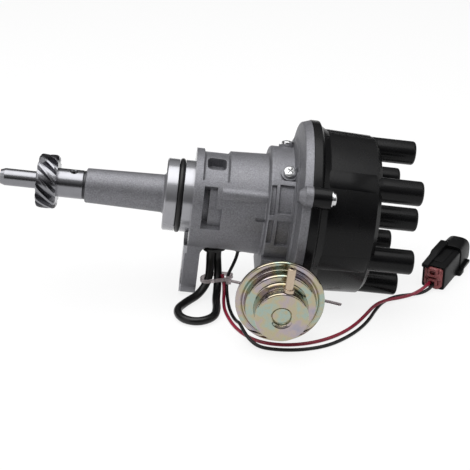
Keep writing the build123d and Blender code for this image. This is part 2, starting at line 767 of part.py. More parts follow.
# Base plate with its screw tabs and the bearing collar of the pickup plate
base_top = bowl_floor + base_thickness
with BuildPart() as base_plate:
    revolve(turned(
        (bowl_floor, collar_bore), (bowl_floor, base_radius), (base_top, base_radius),
        (base_top, collar_radius), (collar_end, collar_radius), (collar_end, collar_bore),
    ), axis=shaft_line)
    for angle in bowl_screw_angles:
        with BuildSketch(across(base_top)):
            with Locations(Rot(0, 0, angle)):
                with Locations((base_radius - 1.2, 0)):
                    Rectangle(2.0, 10)
            Circle(base_radius, mode=Mode.INTERSECT)
        extrude(amount=bowl_screw_height + 4.5 - base_top)
        with BuildSketch(outward(bowl_screw_height, angle, base_radius - 4)):
            Circle(screw_radius)
        extrude(amount=6, mode=Mode.SUBTRACT)
write(base_plate, "base_plate")

with BuildPart() as bowl_screws:
    for angle in bowl_screw_angles:
        with BuildSketch(outward(bowl_screw_height, angle, base_radius - 2.4)):
            Circle(screw_radius)
        extrude(amount=bowl_screw_seat - base_radius + 2.4)
        with BuildSketch(outward(bowl_screw_height, angle, bowl_screw_seat)):
            Circle(screw_head_radius)
        extrude(amount=screw_head_height)
    fillet(bowl_screws.faces().filter_by(GeomType.PLANE).filter_by(
        lambda face: face.area > pi * (screw_head_radius - 0.1) ** 2).edges(), 1.2)
write(bowl_screws, "bowl_screws")

# Pickup plate with its link pin, and the pickup
pickup_start = base_top + air
with BuildPart() as pickup_plate:
    revolve(tube_outline(pickup_start, pickup_start + pickup_thickness, pickup_radius,
                         collar_radius + running), axis=shaft_line)
    with BuildSketch(across(pickup_start)):
        with Locations((unit_drop + 4, 0)):
            Rectangle(8, 2 * (link_pin_radius + 0.4))
        with Locations((unit_drop, 0)):
            Circle(link_pin_radius + 0.4)
    extrude(amount=pickup_thickness)
    with BuildSketch(across(pickup_start + pickup_thickness)):
        with Locations((unit_drop, 0)):
            Circle(link_pin_radius)
    extrude(amount=unit_height + 2 - pickup_start - pickup_thickness)
write(pickup_plate, "pickup_plate")

pole_height = (reluctor_start + reluctor_end) / 2
with BuildPart() as pole_piece:
    with BuildSketch(across(pickup_start + pickup_thickness)):
        with Locations(Rot(0, 0, pickup_angle)):
            with Locations((pole_post_radius, 0)):
                Rectangle(4, 12)
    extrude(amount=pole_height + 3.5 - pickup_start - pickup_thickness)
    with BuildSketch(outward(pole_height, pickup_angle, reluctor_radius + pole_gap)):
        Circle(pole_radius)
    extrude(amount=pole_post_radius - reluctor_radius - pole_gap)
write(pole_piece, "pole_piece")

with BuildPart() as pickup_coil:
    with BuildSketch(outward(pole_height, pickup_angle, pole_post_radius - 2 - coil_length)):
        Circle(coil_radius)
        Circle(pole_radius, mode=Mode.SUBTRACT)
    extrude(amount=coil_length)
write(pickup_coil, "pickup_coil")

with BuildPart() as reluctor:
    with BuildSketch(across(reluctor_start)):
        Circle(reluctor_root)
        with PolarLocations(reluctor_radius - 2.5, tower_count, start_angle=pickup_angle):
            Rectangle(5, reluctor_width)
        Circle(reluctor_radius, mode=Mode.INTERSECT)
        Circle(sleeve_radius, mode=Mode.SUBTRACT)
    extrude(amount=reluctor_end - reluctor_start)
write(reluctor, "reluctor")

# Rotor with its blade and screw
blade_reach = tower_circle - terminal_radius - blade_gap
with BuildPart() as rotor:
    revolve(turned(
        (rotor_start, sleeve_radius), (sleeve_top, sleeve_radius), (sleeve_top, 0), (rotor_top, 0),
        (rotor_top, rotor_hub_radius, 1.0), (rotor_start, rotor_hub_radius + 1.5, 0.8),
    ), axis=shaft_line)
    with BuildSketch(across(rotor_top - 5)):
        with Locations(Rot(0, 0, tower_angle)):
            with Locations((blade_reach / 2 - 4, 0)):
                Rectangle(blade_reach, blade_width + 3)
            with Locations((-rotor_hub_radius, 0)):
                Rectangle(rotor_hub_radius, blade_width + 8)
    extrude(amount=5)
write(rotor, "rotor")

with BuildPart() as rotor_blade:
    with BuildSketch(across(rotor_top)):
        with Locations(Rot(0, 0, tower_angle)):
            with Locations((blade_reach / 2, 0)):
                Rectangle(blade_reach, blade_width)
            Circle(blade_width / 2)
        with Locations(Rot(0, 0, tower_angle)):
            with Locations((rotor_hub_radius / 2 + 4, 0)):
                Circle(1.5, mode=Mode.SUBTRACT)
    extrude(amount=blade_thickness)
write(rotor_blade, "rotor_blade")

with BuildPart() as rotor_screw:
    with BuildSketch(across(rotor_top)):
        with Locations(Rot(0, 0, tower_angle)):
            with Locations((rotor_hub_radius / 2 + 4, 0)):
                Circle(1.5)
    extrude(amount=blade_thickness)
    with BuildSketch(across(rotor_top + blade_thickness)):
        with Locations(Rot(0, 0, tower_angle)):
            with Locations((rotor_hub_radius / 2 + 4, 0)):
                Circle(2.8)
    extrude(amount=1.8)
write(rotor_screw, "rotor_screw")

# Cap
cap_rib_taper = degrees(atan2(rib_radius - tower_radius, cap_face - cap_rim_end))
with BuildPart() as cap:
    revolve(turned(
        (rim_end, 0), (rim_end, cap_rim_radius, 0.8), (cap_rim_end, cap_rim_radius, 1.0),
        (cap_rim_end + 1.5, cap_rim_radius - 3.0, 1.0), (cap_body_start, cap_body_radius, 1.5),
        (cap_face - 3, cap_body_end_radius), (cap_face, cap_face_radius), (cap_face, 0),
    ), axis=shaft_line)
    # Ribs that carry on into the towers
    with BuildSketch(across(cap_rim_end)):
        with PolarLocations(tower_circle, tower_count, start_angle=tower_angle):
            Circle(rib_radius)
    extrude(amount=cap_face - cap_rim_end, taper=cap_rib_taper)
    for height, circle, count in ((tower_top, tower_circle, tower_count), (center_tower_top, 0, 1)):
        with BuildSketch(across(cap_ceiling)):
            with PolarLocations(circle, count, start_angle=tower_angle):
                Circle(tower_radius)
        extrude(amount=height - cap_ceiling)
        fillet(cap.faces().filter_by(GeomType.PLANE).sort_by(shaft_line)[-count:].edges(), tower_rounding)
    # Lugs for the two screws
    with BuildSketch(across(rim_end)):
        with PolarLocations(cap_screw_circle, 2, start_angle=cap_screw_angle):
            Circle(cap_lug_radius)
            with Locations((-cap_lug_radius, 0)):
                Rectangle(2 * cap_lug_radius, 2 * cap_lug_radius)
    extrude(amount=cap_lug_end - rim_end)
    # Inside
    revolve(turned(
        (rim_end - 1, 0), (rim_end - 1, rim_bore), (cap_rim_end - 2, rim_bore), (cap_rim_end + 2, cap_bore),
        (cap_ceiling, cap_bore, 1.5), (cap_ceiling, 0),
    ), axis=shaft_line, mode=Mode.SUBTRACT)
    with BuildSketch(across(brush_guide_end)):
        Circle(brush_guide_radius)
    extrude(amount=cap_ceiling + 1 - brush_guide_end)
    with BuildSketch(across(brush_guide_end - 1)):
        Circle(brush_radius + running)
    extrude(amount=cap_ceiling + 1 - brush_guide_end, mode=Mode.SUBTRACT)
    # Groove for the seal on the rim
    revolve(tube_outline(rim_end, rim_end + cap_seal_height, cap_seal_outer, cap_seal_inner),
            axis=shaft_line, mode=Mode.SUBTRACT)
    # Sockets, holes for the terminals and for the screws
    for floor, top, bore, circle, count in (
        (socket_floor, tower_top + 1, socket_radius, tower_circle, tower_count),
        (center_socket_floor, center_tower_top + 1, socket_radius, 0, 1),
        (cap_ceiling - 1, socket_floor + 1, terminal_radius, tower_circle, tower_count),
        (cap_ceiling - 1, center_socket_floor + 1, center_terminal_radius, 0, 1),
    ):
        with BuildSketch(across(floor)):
            with PolarLocations(circle, count, start_angle=tower_angle):
                Circle(bore)
        extrude(amount=top - floor, mode=Mode.SUBTRACT)
    with BuildSketch(across(rim_end - 1)):
        with PolarLocations(cap_screw_circle, 2, start_angle=cap_screw_angle):
            Circle(screw_radius + 0.2)
    extrude(amount=cap_lug_end - rim_end + 2, mode=Mode.SUBTRACT)
write(cap, "cap")

with BuildPart() as cap_seal:
    revolve(tube_outline(rim_end, rim_end + cap_seal_height, cap_seal_outer, cap_seal_inner), axis=shaft_line)
write(cap_seal, "cap_seal")

with BuildPart() as cap_washers:
    with BuildSketch(across(cap_lug_end)):
        with PolarLocations(cap_screw_circle, 2, start_angle=cap_screw_angle):
            Circle(cap_washer_radius)
            Circle(screw_radius + 0.2, mode=Mode.SUBTRACT)
    extrude(amount=cap_washer_thickness)
write(cap_washers, "cap_washers")

with BuildPart() as cap_screws:
    with BuildSketch(across(cap_screw_depth)):
        with PolarLocations(cap_screw_circle, 2, start_angle=cap_screw_angle):
            Circle(screw_radius)
    extrude(amount=cap_lug_end + cap_washer_thickness - cap_screw_depth)
    with BuildSketch(across(cap_lug_end + cap_washer_thickness)):
        with PolarLocations(cap_screw_circle, 2, start_angle=cap_screw_angle):
            Circle(screw_head_radius)
    extrude(amount=screw_head_height)
    fillet(cap_screws.faces().filter_by(GeomType.PLANE).sort_by(shaft_line)[-2:].edges(), 1.2)
write(cap_screws, "cap_screws")

with BuildPart() as side_terminals:
    with BuildSketch(across(terminal_end)):
        with PolarLocations(tower_circle, tower_count, start_angle=tower_angle):
            Circle(terminal_radius)
    extrude(amount=terminal_top - terminal_end)
write(side_terminals, "side_terminals")

with BuildPart() as center_terminal:
    with BuildSketch(across(cap_ceiling)):
        Circle(center_terminal_radius)
    extrude(amount=center_socket_floor + 6 - cap_ceiling)
write(center_terminal, "center_terminal")

with BuildPart() as carbon_brush:
    with BuildSketch(across(brush_end)):
        Circle(brush_radius)
    extrude(amount=brush_length)
    fillet(carbon_brush.edges().sort_by(shaft_line)[0], 1.2)
write(carbon_brush, "carbon_brush")

with BuildPart() as brush_spring:
    with BuildSketch(across(brush_end + brush_length)):
        Circle(brush_radius - 0.3)
        Circle(brush_radius - 1.0, mode=Mode.SUBTRACT)
    extrude(amount=cap_ceiling - brush_end - brush_length)
write(brush_spring, "brush_spring")


# Vacuum unit
def unit_turned(*corners):
    """Outline on the vacuum unit's own plane, corners as (depth to the front, radius)."""
    return section(corners, unit_plane)


with BuildPart() as vacuum_front_shell:
    revolve(unit_turned(
        (0.5, 0), (0.5, crimp_lip + 1.5), (crimp_half - 0.8, crimp_lip + 1.5),
        (crimp_half - 0.8, crimp_lip - 0.6, 0.6), (5, ring_wall_radius + 0.4, 0.6),
        (ring_wall_depth, ring_wall_radius, 1.2), (ring_wall_depth + 1.6, cup_radius, 1.0),
        (cup_depth, cup_face_radius, 1.6), (cup_depth, button_radius + 0.8, 0.6),
        (cup_depth + button_height, button_radius - 0.6, 2.0), (cup_depth + button_height, 0),
    ), axis=unit_line)
    revolve(unit_turned(
        (0.4, 0), (0.4, crimp_lip - 2.0), (4, ring_wall_radius - sheet),
        (ring_wall_depth - sheet, ring_wall_radius - sheet), (ring_wall_depth + 0.4, cup_radius - sheet),
        (cup_depth - sheet, cup_face_radius - sheet), (cup_depth - sheet, button_radius - 1.6),
        (cup_depth + button_height - sheet, button_radius - 2.0), (cup_depth + button_height - sheet, 0),
    ), axis=unit_line, mode=Mode.SUBTRACT)
    with BuildSketch(nipple_plane):
        Circle(nipple_bore)
    extrude(amount=cup_radius + 2, mode=Mode.SUBTRACT)
write(vacuum_front_shell, "vacuum_front_shell")

with BuildPart() as vacuum_rear_shell:
    revolve(unit_turned(
        (-crimp_half, 0), (-crimp_half, unit_radius, 1.2), (crimp_half, unit_radius, 1.2),
        (crimp_half, crimp_lip), (crimp_half - 0.8, crimp_lip), (crimp_half - 0.8, crimp_lip + 1.5),
        (0.5, crimp_lip + 1.5), (0.5 - diaphragm_thickness, crimp_lip + 1.5),
        (0.5 - diaphragm_thickness, 0),
    ), axis=unit_line)
    revolve(unit_turned(
        (rear_cup_front - unit_flange, 0), (rear_cup_front - unit_flange, rear_cup_radius, 1.5),
        (-crimp_half - 4, rear_cup_radius + 6, 2.0), (-crimp_half, crimp_lip), (-crimp_half + 0.5, 0),
    ), axis=unit_line)
    revolve(unit_turned(
        (rear_cup_front - unit_flange + sheet, 0), (rear_cup_front - unit_flange + sheet, rear_cup_radius - sheet),
        (-crimp_half - 3, rear_cup_radius + 6 - sheet), (-crimp_half + 1, crimp_lip - 2.5), (0.6, crimp_lip - 2.5),
        (0.6, 0),
    ), axis=unit_line, mode=Mode.SUBTRACT)
    revolve(unit_turned(
        (rear_cup_front - unit_flange - 1, 0), (rear_cup_front - unit_flange - 1, rod_radius + 1.5),
        (rear_cup_front - unit_flange + 3, rod_radius + 1.5), (rear_cup_front - unit_flange + 3, 0),
    ), axis=unit_line, mode=Mode.SUBTRACT)
write(vacuum_rear_shell, "vacuum_rear_shell")

with BuildPart() as vacuum_diaphragm:
    revolve(unit_turned(
        (0.5 - diaphragm_thickness, rod_plate_radius + air), (0.5, rod_plate_radius + air),
        (0.5, crimp_lip + 1.5), (0.5 - diaphragm_thickness, crimp_lip + 1.5),
    ), axis=unit_line)
write(vacuum_diaphragm, "vacuum_diaphragm")

with BuildPart() as vacuum_rod:
    revolve(unit_turned(
        (link_pin_radius + link_play + 0.6 - unit_flange, 0),
        (link_pin_radius + link_play + 0.6 - unit_flange, rod_radius),
        (-1.6, rod_radius), (-1.6, rod_plate_radius), (1.4, rod_plate_radius), (1.4, 0),
    ), axis=unit_line)
    with BuildSketch(across(unit_height - rod_eye / 2)):
        with Locations((unit_drop, 0)):
            Circle(link_pin_radius + link_play + 1.4)
    extrude(amount=rod_eye)
    with BuildSketch(across(unit_height - rod_radius - 1)):
        with Locations((unit_drop, 0)):
            Circle(link_pin_radius + link_play)
    extrude(amount=2 * rod_radius + 2, mode=Mode.SUBTRACT)
write(vacuum_rod, "vacuum_rod")

with BuildPart() as vacuum_spring:
    revolve(unit_turned(
        (1.4, 6.2), (cup_depth - sheet, 6.2), (cup_depth - sheet, 8.0), (1.4, 8.0),
    ), axis=unit_line)
write(vacuum_spring, "vacuum_spring")

with BuildPart() as vacuum_nipple:
    with BuildSketch(nipple_plane):
        Circle(nipple_radius)
    extrude(amount=nipple_tip - unit_drop)
    with BuildSketch(nipple_plane):
        Circle(braze_radius)
    extrude(amount=cup_radius + 1.2)
    fillet(vacuum_nipple.faces().sort_by(Axis(point(0), up_dir))[-1].edges(), 0.6)
    revolve(unit_turned((0, 0), (0, cup_radius), (ring_wall_depth + 1.6, cup_radius),
                        (cup_depth, cup_face_radius), (cup_depth, 0)), axis=unit_line, mode=Mode.SUBTRACT)
    with BuildSketch(nipple_plane):
        Circle(nipple_bore)
    extrude(amount=nipple_tip - unit_drop + 1, mode=Mode.SUBTRACT)
write(vacuum_nipple, "vacuum_nipple")

with BuildPart() as vacuum_bracket:
    with BuildSketch(bracket_plane):
        RectangleRounded(2 * bracket_half_width, 2 * unit_bolt_spacing + 8, 3)
        with Locations((0, unit_bolt_spacing), (0, -unit_bolt_spacing)):
            Circle(screw_radius + 0.2, mode=Mode.SUBTRACT)
    extrude(amount=bracket_thickness)
    with BuildSketch(bracket_plane):
        Circle(rod_channel_radius + 1)
    extrude(amount=rear_cup_front - boss_front)
    with BuildSketch(bracket_plane):
        Circle(rod_channel_radius)
    extrude(amount=rear_cup_front - boss_front, mode=Mode.SUBTRACT)
write(vacuum_bracket, "vacuum_bracket")

with BuildPart() as bracket_screws:
    with BuildSketch(bracket_plane.offset(-bracket_screw_length)):
        with Locations((0, unit_bolt_spacing), (0, -unit_bolt_spacing)):
            Circle(screw_radius)
    extrude(amount=bracket_screw_length + bracket_thickness)
    with BuildSketch(bracket_plane.offset(bracket_thickness)):
        with Locations((0, unit_bolt_spacing), (0, -unit_bolt_spacing)):
            Circle(bracket_head_radius)
    extrude(amount=2.6)
write(bracket_screws, "bracket_screws")

# Grommets in the neck
with BuildPart() as sleeve_grommet:
    with BuildSketch(underside(*sleeve_passage, neck_bore - 1.7)):
        SlotCenterToCenter(passage_span, passage_width, rotation=passage_turn)
    extrude(amount=neck_radius - neck_bore + 2.1)
    with BuildSketch(underside(*sleeve_passage, neck_radius + 0.4)):
        SlotCenterToCenter(passage_span, passage_width + 2 * grommet_lip, rotation=passage_turn)
    extrude(amount=2.2)
    with BuildSketch(underside(0, 0, neck_bore - 2.2)):
        with Locations(*sleeve_bores):
            Circle(sleeve_diameter / 2 + running)
    extrude(amount=12, mode=Mode.SUBTRACT)
write(sleeve_grommet, "sleeve_grommet")

with BuildPart() as wire_grommet:
    wire_plane = underside(*wire_passage, neck_bore - 1.2)
    with BuildSketch(wire_plane):
        Circle(wire_passage_radius)
    extrude(amount=neck_end_radius - neck_bore + 1.2)
    with BuildSketch(wire_plane.offset(neck_end_radius - neck_bore + 1.2)):
        Circle(wire_passage_radius + grommet_lip)
    extrude(amount=1.8)
    with BuildSketch(wire_plane.offset(-1)):
        Circle(wire_diameter / 2 + running)
    extrude(amount=12, mode=Mode.SUBTRACT)
write(wire_grommet, "wire_grommet")


def cord_tube(route, diameter):
    """Round cord along straight runs joined by their largest tangent arcs."""
    with BuildPart() as tube:
        with BuildLine() as path:
            FilletPolyline(*route, radius=arc_radii(route))
        with BuildSketch(Plane(origin=route[0], z_dir=Vector(*route[1]) - Vector(*route[0]))):
            Circle(diameter / 2)
        sweep(path=path.wires()[0])
    length = path.wires()[0].length
    print("tube length", round(length, 1), "volume ratio",
          round(tube.part.volume / (length * pi * diameter ** 2 / 4), 4),
          "radii", [round(radius, 1) for radius in arc_radii(route)])
    return tube


write(cord_tube(sleeve_route, sleeve_diameter), "sleeve_loop")
write(cord_tube(black_route, wire_diameter), "black_wire")
write(cord_tube(red_route, wire_diameter), "red_wire")

# Cable tie: band round the strands, head and tail
with BuildPart() as cable_tie:
    for growth, mode in ((tie_slack + tie_band, Mode.ADD), (tie_slack, Mode.SUBTRACT)):
        with BuildSketch(Plane.XY.offset(tie_height - tie_width / 2)):
            for x, y, radius in tie_strands:
                with Locations((x, y)):
                    Circle(radius + growth)
            make_hull()
        extrude(amount=tie_width, mode=mode)
    with Locations(Location(tie_head, (0, 0, 0))):
        Box(3.6, 4.4, 4.4)
    with BuildLine() as tail_path:
        FilletPolyline(*tail_route, radius=arc_radii(tail_route))
    with BuildSketch(Plane(origin=tail_route[0], x_dir=(0, 1, 0),
                           z_dir=Vector(*tail_route[1]) - Vector(*tail_route[0]))):
        Rectangle(tie_width, tie_band)
    sweep(path=tail_path.wires()[0])
write(cable_tie, "cable_tie")

# Connector
yaw = radians(connector_yaw)
connector_run = Vector(cos(yaw), sin(yaw), 0)
connector_side = Vector(-sin(yaw), cos(yaw), 0)
connector_entry = Vector(connector_x, connector_y, table_z)


def connector_plane(depth):
    """Plane across the connector at a depth from its entry face; x to its far side, y up."""
    return Plane(origin=connector_entry + connector_run * depth, x_dir=connector_side, z_dir=connector_run)


with BuildPart() as connector_shell:
    with BuildSketch(connector_plane(0)):
        with Locations((0, connector_height / 2)):
            RectangleRounded(connector_width, connector_height, 1.5)
    extrude(amount=connector_length)
    with BuildSketch(connector_plane(-1)):
        with Locations((0, connector_height / 2)):
            RectangleRounded(connector_width - 2 * connector_wall, connector_height - 2 * connector_wall, 1.0)
    extrude(amount=insert_length + 1, mode=Mode.SUBTRACT)
write(connector_shell, "connector_shell")

with BuildPart() as connector_insert:
    with BuildSketch(connector_plane(-insert_proud)):
        with Locations((0, connector_height / 2)):
            RectangleRounded(connector_width - 2 * connector_wall, connector_height - 2 * connector_wall, 1.0)
    extrude(amount=insert_length + insert_proud)
    with BuildSketch(connector_plane(-insert_proud)):
        for rise in (connector_height / 2 - cavity_rise / 2, connector_height / 2 + cavity_rise / 2):
            with Locations((0, rise)):
                Rectangle(cavity_width, cavity_height)
    extrude(amount=cavity_depth, mode=Mode.SUBTRACT)
write(connector_insert, "connector_insert")

with BuildPart() as connector_contact:
    with BuildSketch(connector_plane(cavity_depth - insert_proud - 9)):
        with Locations((0, connector_height / 2 + cavity_rise / 2)):
            Rectangle(4.2, 2.4)
            with Locations((0, 0.7)):
                Rectangle(2.8, 1.6, mode=Mode.SUBTRACT)
    extrude(amount=9)
write(connector_contact, "connector_contact")
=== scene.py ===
"""Looks of the ignition distributor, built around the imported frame. Sizes are in millimetres until meshed."""

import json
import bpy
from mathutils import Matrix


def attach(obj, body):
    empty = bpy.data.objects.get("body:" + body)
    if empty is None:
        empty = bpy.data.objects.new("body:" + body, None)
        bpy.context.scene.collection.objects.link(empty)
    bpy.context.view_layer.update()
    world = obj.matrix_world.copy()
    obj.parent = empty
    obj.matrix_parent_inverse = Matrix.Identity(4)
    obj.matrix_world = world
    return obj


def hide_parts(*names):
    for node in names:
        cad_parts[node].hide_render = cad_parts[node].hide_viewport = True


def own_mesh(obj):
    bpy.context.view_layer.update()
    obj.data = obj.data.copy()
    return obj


bl_info = {
    "name": "Ignition distributor",
    "version": (1, 0, 0),
    "blender": (4, 5, 0),
    "location": "View3D > Sidebar > Distributor",
    "description": "Dresses the distributor's pieces, lays its harness and sets the studio",
    "category": "Object",
}

from math import cos, pi, radians, sin

import bmesh
import bpy
import numpy as np
from mathutils import Vector

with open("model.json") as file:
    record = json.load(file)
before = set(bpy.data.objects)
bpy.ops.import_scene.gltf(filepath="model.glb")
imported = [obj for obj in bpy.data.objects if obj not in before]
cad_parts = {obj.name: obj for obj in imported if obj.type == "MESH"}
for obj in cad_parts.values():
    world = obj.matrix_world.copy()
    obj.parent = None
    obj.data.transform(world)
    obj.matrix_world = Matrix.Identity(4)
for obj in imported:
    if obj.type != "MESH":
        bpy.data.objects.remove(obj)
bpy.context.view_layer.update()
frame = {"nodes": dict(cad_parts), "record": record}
BODY_OF = {node: body for body, nodes in frame["record"]["behaviour"]["bodies"].items() for node in nodes}
SLOT_OF = {part["node"]: part["material_slot"] for part in frame["record"]["subparts"]}
MATERIALS = {}

# Shared frame: the shaft's axis dips 7 degrees toward the cap; heights on it count from the flange's seat
MM = 0.001
TILT = radians(7.0)
SEAT = 14.7
TABLE = -73.74
AXIS = np.array([cos(TILT), 0.0, -sin(TILT)])
UP = np.array([sin(TILT), 0.0, cos(TILT)])
FRONT = np.array([0.0, -1.0, 0.0])

# Turned faces of the casting: heights, and distances from the shaft's axis
PILOT_HEIGHTS, PILOT_RADII = (-19.6, 0.15), (14.5, 40)
PAD_HEIGHTS, PAD_RADII = (-4, -1.2), (34.5, 90)

# Pan head screws of the bowl and of the cap; the recess turns by the angle of this cosine and sine
PAN_RADIUS, PAN_HEIGHT, PAN_EDGE = 4.4, 3.2, 0.9
SHANK_RADIUS = 2.0
RECESS_TURN = (0.8, 0.6)
BOWL_SCREW_ANGLES, BOWL_SCREW_HEIGHT, BOWL_SCREW_SEAT, BOWL_SHANK = (-20, 35.5, -145), 62.5, 43.0, 8.4
CAP_SCREW_ANGLES, CAP_SCREW_HEIGHT, CAP_SCREW_CIRCLE, CAP_SHANK = (60, 240), 89.0, 62.4, 21.0

# Side ribs of the cap, one under each outer tower, as sections along the shaft
TOWER_ANGLES = np.arange(6) * 60.0 + 44.9
SIDE_RIB = [(84.4, 0, 55.0, 6.4, 1.4, 2.2), (85.2, 0, 55.3, 7.2, 1.9, 2.2), (101.0, 0, 54.7, 7.2, 1.9, 2.2),
            (118.6, 0, 54.1, 7.2, 1.9, 2.2), (119.6, 0, 53.8, 6.6, 1.5, 2.2)]

# Vacuum unit: its place, the corners of its two pressed shells from the crimp plane, and its spring
UNIT_HEIGHT, UNIT_UP, UNIT_FRONT = 62.8, -35.2, 76.7
CUP_CORNERS = [
    (0.5, 0.0), (0.5, 27.5), (1.2, 27.5), (1.2, 25.6, 0.5), (0.5, 24.6, 0.6), (1.0, 23.6, 0.7),
    (7.6, 22.9, 1.2), (8.2, 18.5, 0.9), (9.0, 17.7, 0.9), (21.8, 17.3, 1.2), (22.0, 7.7, 0.5),
    (20.7, 6.1, 0.3), (18.4, 5.9, 0.6), (18.3, 0.0)]
BACK_CORNERS = [
    (-0.5, 0.0), (-0.5, 27.5), (0.6, 27.5), (0.6, 25.9), (1.3, 25.9, 0.3), (1.3, 29.3, 1.4),
    (-2.4, 29.3, 1.4), (-2.4, 26.0, 0.8), (-6.5, 21.0, 2.0), (-14.7, 15.0, 1.8), (-14.7, 3.2),
    (-11.0, 3.2), (-11.0, 0.0)]
PLATE_FACE, CUP_FLOOR = 1.4, 20.8
SPRING_GAP, SPRING_RADIUS, SPRING_WIRE, SPRING_TURNS = 0.05, 7.1, 0.8, 4.4

# Connector on the table: its turn and corner, and bars along it as lofted() takes them
CONNECTOR_YAW = radians(59.0)
CONNECTOR_ORIGIN = np.array([188.0, -3.6, TABLE])
SHELL = [
    (55.0, 0, 9.6, 6.6, 7.4, 3), (54.0, 0, 9.9, 8.3, 9.0, 3), (52.0, 0, 10.2, 9.1, 10.0, 3.2),
    (34.0, 0, 10.3, 9.2, 10.3, 4), (33.2, 0, 10.2, 9.0, 10.1, 5), (32.8, 0, 9.1, 8.0, 8.6, 8),
    (31.6, 0, 9.1, 8.0, 8.6, 8), (31.2, 0, 9.1, 8.5, 9.0, 9), (30.0, 0, 9.1, 8.6, 9.1, 10),
    (1.0, 0, 9.1, 8.6, 9.1, 12), (0.2, 0, 9.1, 8.4, 8.9, 12), (0.0, 0, 9.1, 7.9, 8.4, 12),
    (0.2, 0, 9.1, 7.2, 7.8, 10), (3.0, 0, 9.1, 7.1, 7.7, 10), (24.0, 0, 9.1, 7.1, 7.7, 10)]
LATCH = [(7.0, 0, 18.0, 3.4, 0.6, 6), (8.0, 0, 18.1, 4.0, 0.8, 6), (26.0, 0, 18.1, 4.0, 0.8, 6),
         (28.0, 0, 18.0, 4.0, 1.0, 6), (29.0, 0, 17.6, 3.6, 0.6, 6)]
GUARD = [(0.4, 7.2, 17.0, 1.0, 1.2, 6), (1.2, 7.2, 17.1, 1.3, 1.5, 6), (40.0, 7.2, 17.1, 1.3, 1.5, 6),
         (41.0, 7.2, 17.0, 1.0, 1.2, 6)]
FOOT = [(26.0, -7.6, 1.6, 0.9, 1.0, 6), (26.6, -7.6, 1.6, 1.1, 1.5, 6), (43.0, -7.6, 1.6, 1.1, 1.5, 6),
        (43.6, -7.6, 1.6, 0.9, 1.0, 6)]
LEVER = [(-3.6, 5.8, 18.0, 2.2, 1.0, 6), (-3.0, 5.8, 18.1, 2.6, 1.4, 6), (13.0, 5.8, 18.6, 2.8, 1.8, 6),
         (16.0, 5.7, 19.6, 3.1, 2.6, 6), (35.0, 5.7, 19.8, 3.1, 2.8, 6), (36.4, 5.7, 19.6, 2.8, 2.4, 6)]
RAIL = [(27.0, -9.6, 1.9, 1.4, 1.5, 6), (28.0, -9.8, 2.0, 1.9, 1.8, 6), (34.0, -9.8, 2.2, 1.9, 1.9, 6),
        (35.0, -9.8, 4.0, 1.7, 1.3, 6), (47.4, -9.8, 4.4, 1.7, 1.3, 6), (48.0, -9.8, 4.4, 1.3, 1.0, 6)]
SEAT_BLOCK = [(-0.6, 0, 9.1, 6.4, 7.0, 9), (-0.1, 0, 9.1, 6.9, 7.5, 9), (23.5, 0, 9.1, 7.0, 7.6, 9)]
COLLAR = [(-2.9, 0, 0, 2.0, 1.5, 4), (-2.9, 0, 0, 3.3, 2.9, 4), (-2.3, 0, 0, 3.9, 3.4, 4),
          (-0.5, 0, 0, 4.0, 3.5, 4), (-0.5, 0, 0, 2.6, 2.0, 4), (-2.2, 0, 0, 2.4, 1.8, 4),
          (-2.9, 0, 0, 2.0, 1.5, 4)]
COLLAR_RIB = [(-1.8, 0, 0, 0.7, 2.2, 5), (-1.4, 0, 0, 0.9, 2.6, 5), (-0.4, 0, 0, 0.9, 2.7, 5)]
COLLAR_RISES, COLLAR_RIB_SIDES = (13.4, 5.2), (-5.2, 5.2)
BOSS = [(-3.0, -4.4, 10.2, 1.1, 1.5, 2), (-2.6, -4.4, 10.2, 1.8, 2.3, 2.2), (-1.4, -4.4, 10.2, 2.2, 2.7, 2.2),
        (-0.3, -4.4, 10.2, 2.3, 2.8, 2.2)]
BULB = [(-3.0, -3.0, 2.6, 1.6, 0.8, 2), (-2.5, -3.0, 2.6, 2.6, 1.5, 2.2), (-0.3, -3.0, 2.6, 2.9, 1.8, 2.2)]

# Harness: declared lengths in metres, and the routes' control points in millimetres
SLEEVE_LENGTH, BLACK_LENGTH, RED_LENGTH = 0.165, 0.290, 0.250
SLEEVE_ROUTE = [
    (27.7, -5.2, -36.7), (26.8, -5.2, -44.6), (26.6, -8.0, -52.5), (25.6, -11.4, -61.5),
    (18.8, -18.8, -69.4), (9.2, -28.0, -70.6), (3.0, -39.0, -70.6), (7.0, -51.4, -70.6),
    (18.5, -56.6, -70.6), (29.6, -49.8, -70.6), (31.4, -37.0, -70.6), (30.6, -25.0, -70.6),
    (31.6, -14.5, -67.6), (32.2, -7.0, -59.4), (31.9, -2.2, -51.6), (31.7, -1.6, -45.2),
    (32.7, -1.6, -37.3),
]
BLACK_ROUTE = [
    (47.8, 0.0, -36.6), (46.6, 0.0, -46.5), (43.0, -3.6, -54.0), (39.2, -7.4, -59.8),
    (38.2, -12.4, -66.2), (38.8, -21.5, -71.4), (39.8, -33.0, -72.4), (42.0, -45.0, -72.4),
    (44.6, -54.0, -71.4), (46.6, -63.0, -67.6), (48.8, -73.4, -67.4), (52.0, -82.0, -68.6),
    (58.0, -87.4, -71.6), (67.4, -89.8, -72.4), (79.5, -91.2, -72.4), (92.0, -89.8, -72.4),
    (105.0, -85.2, -72.4), (117.0, -76.0, -72.4), (127.5, -64.6, -72.4), (135.5, -52.0, -72.4),
    (141.6, -38.4, -72.4), (148.4, -26.4, -72.4), (159.2, -18.0, -72.4), (170.4, -16.0, -72.4),
    (181.0, -13.4, -71.8), (189.0, -5.4, -69.2), (194.04, 3.15, -68.7),
]
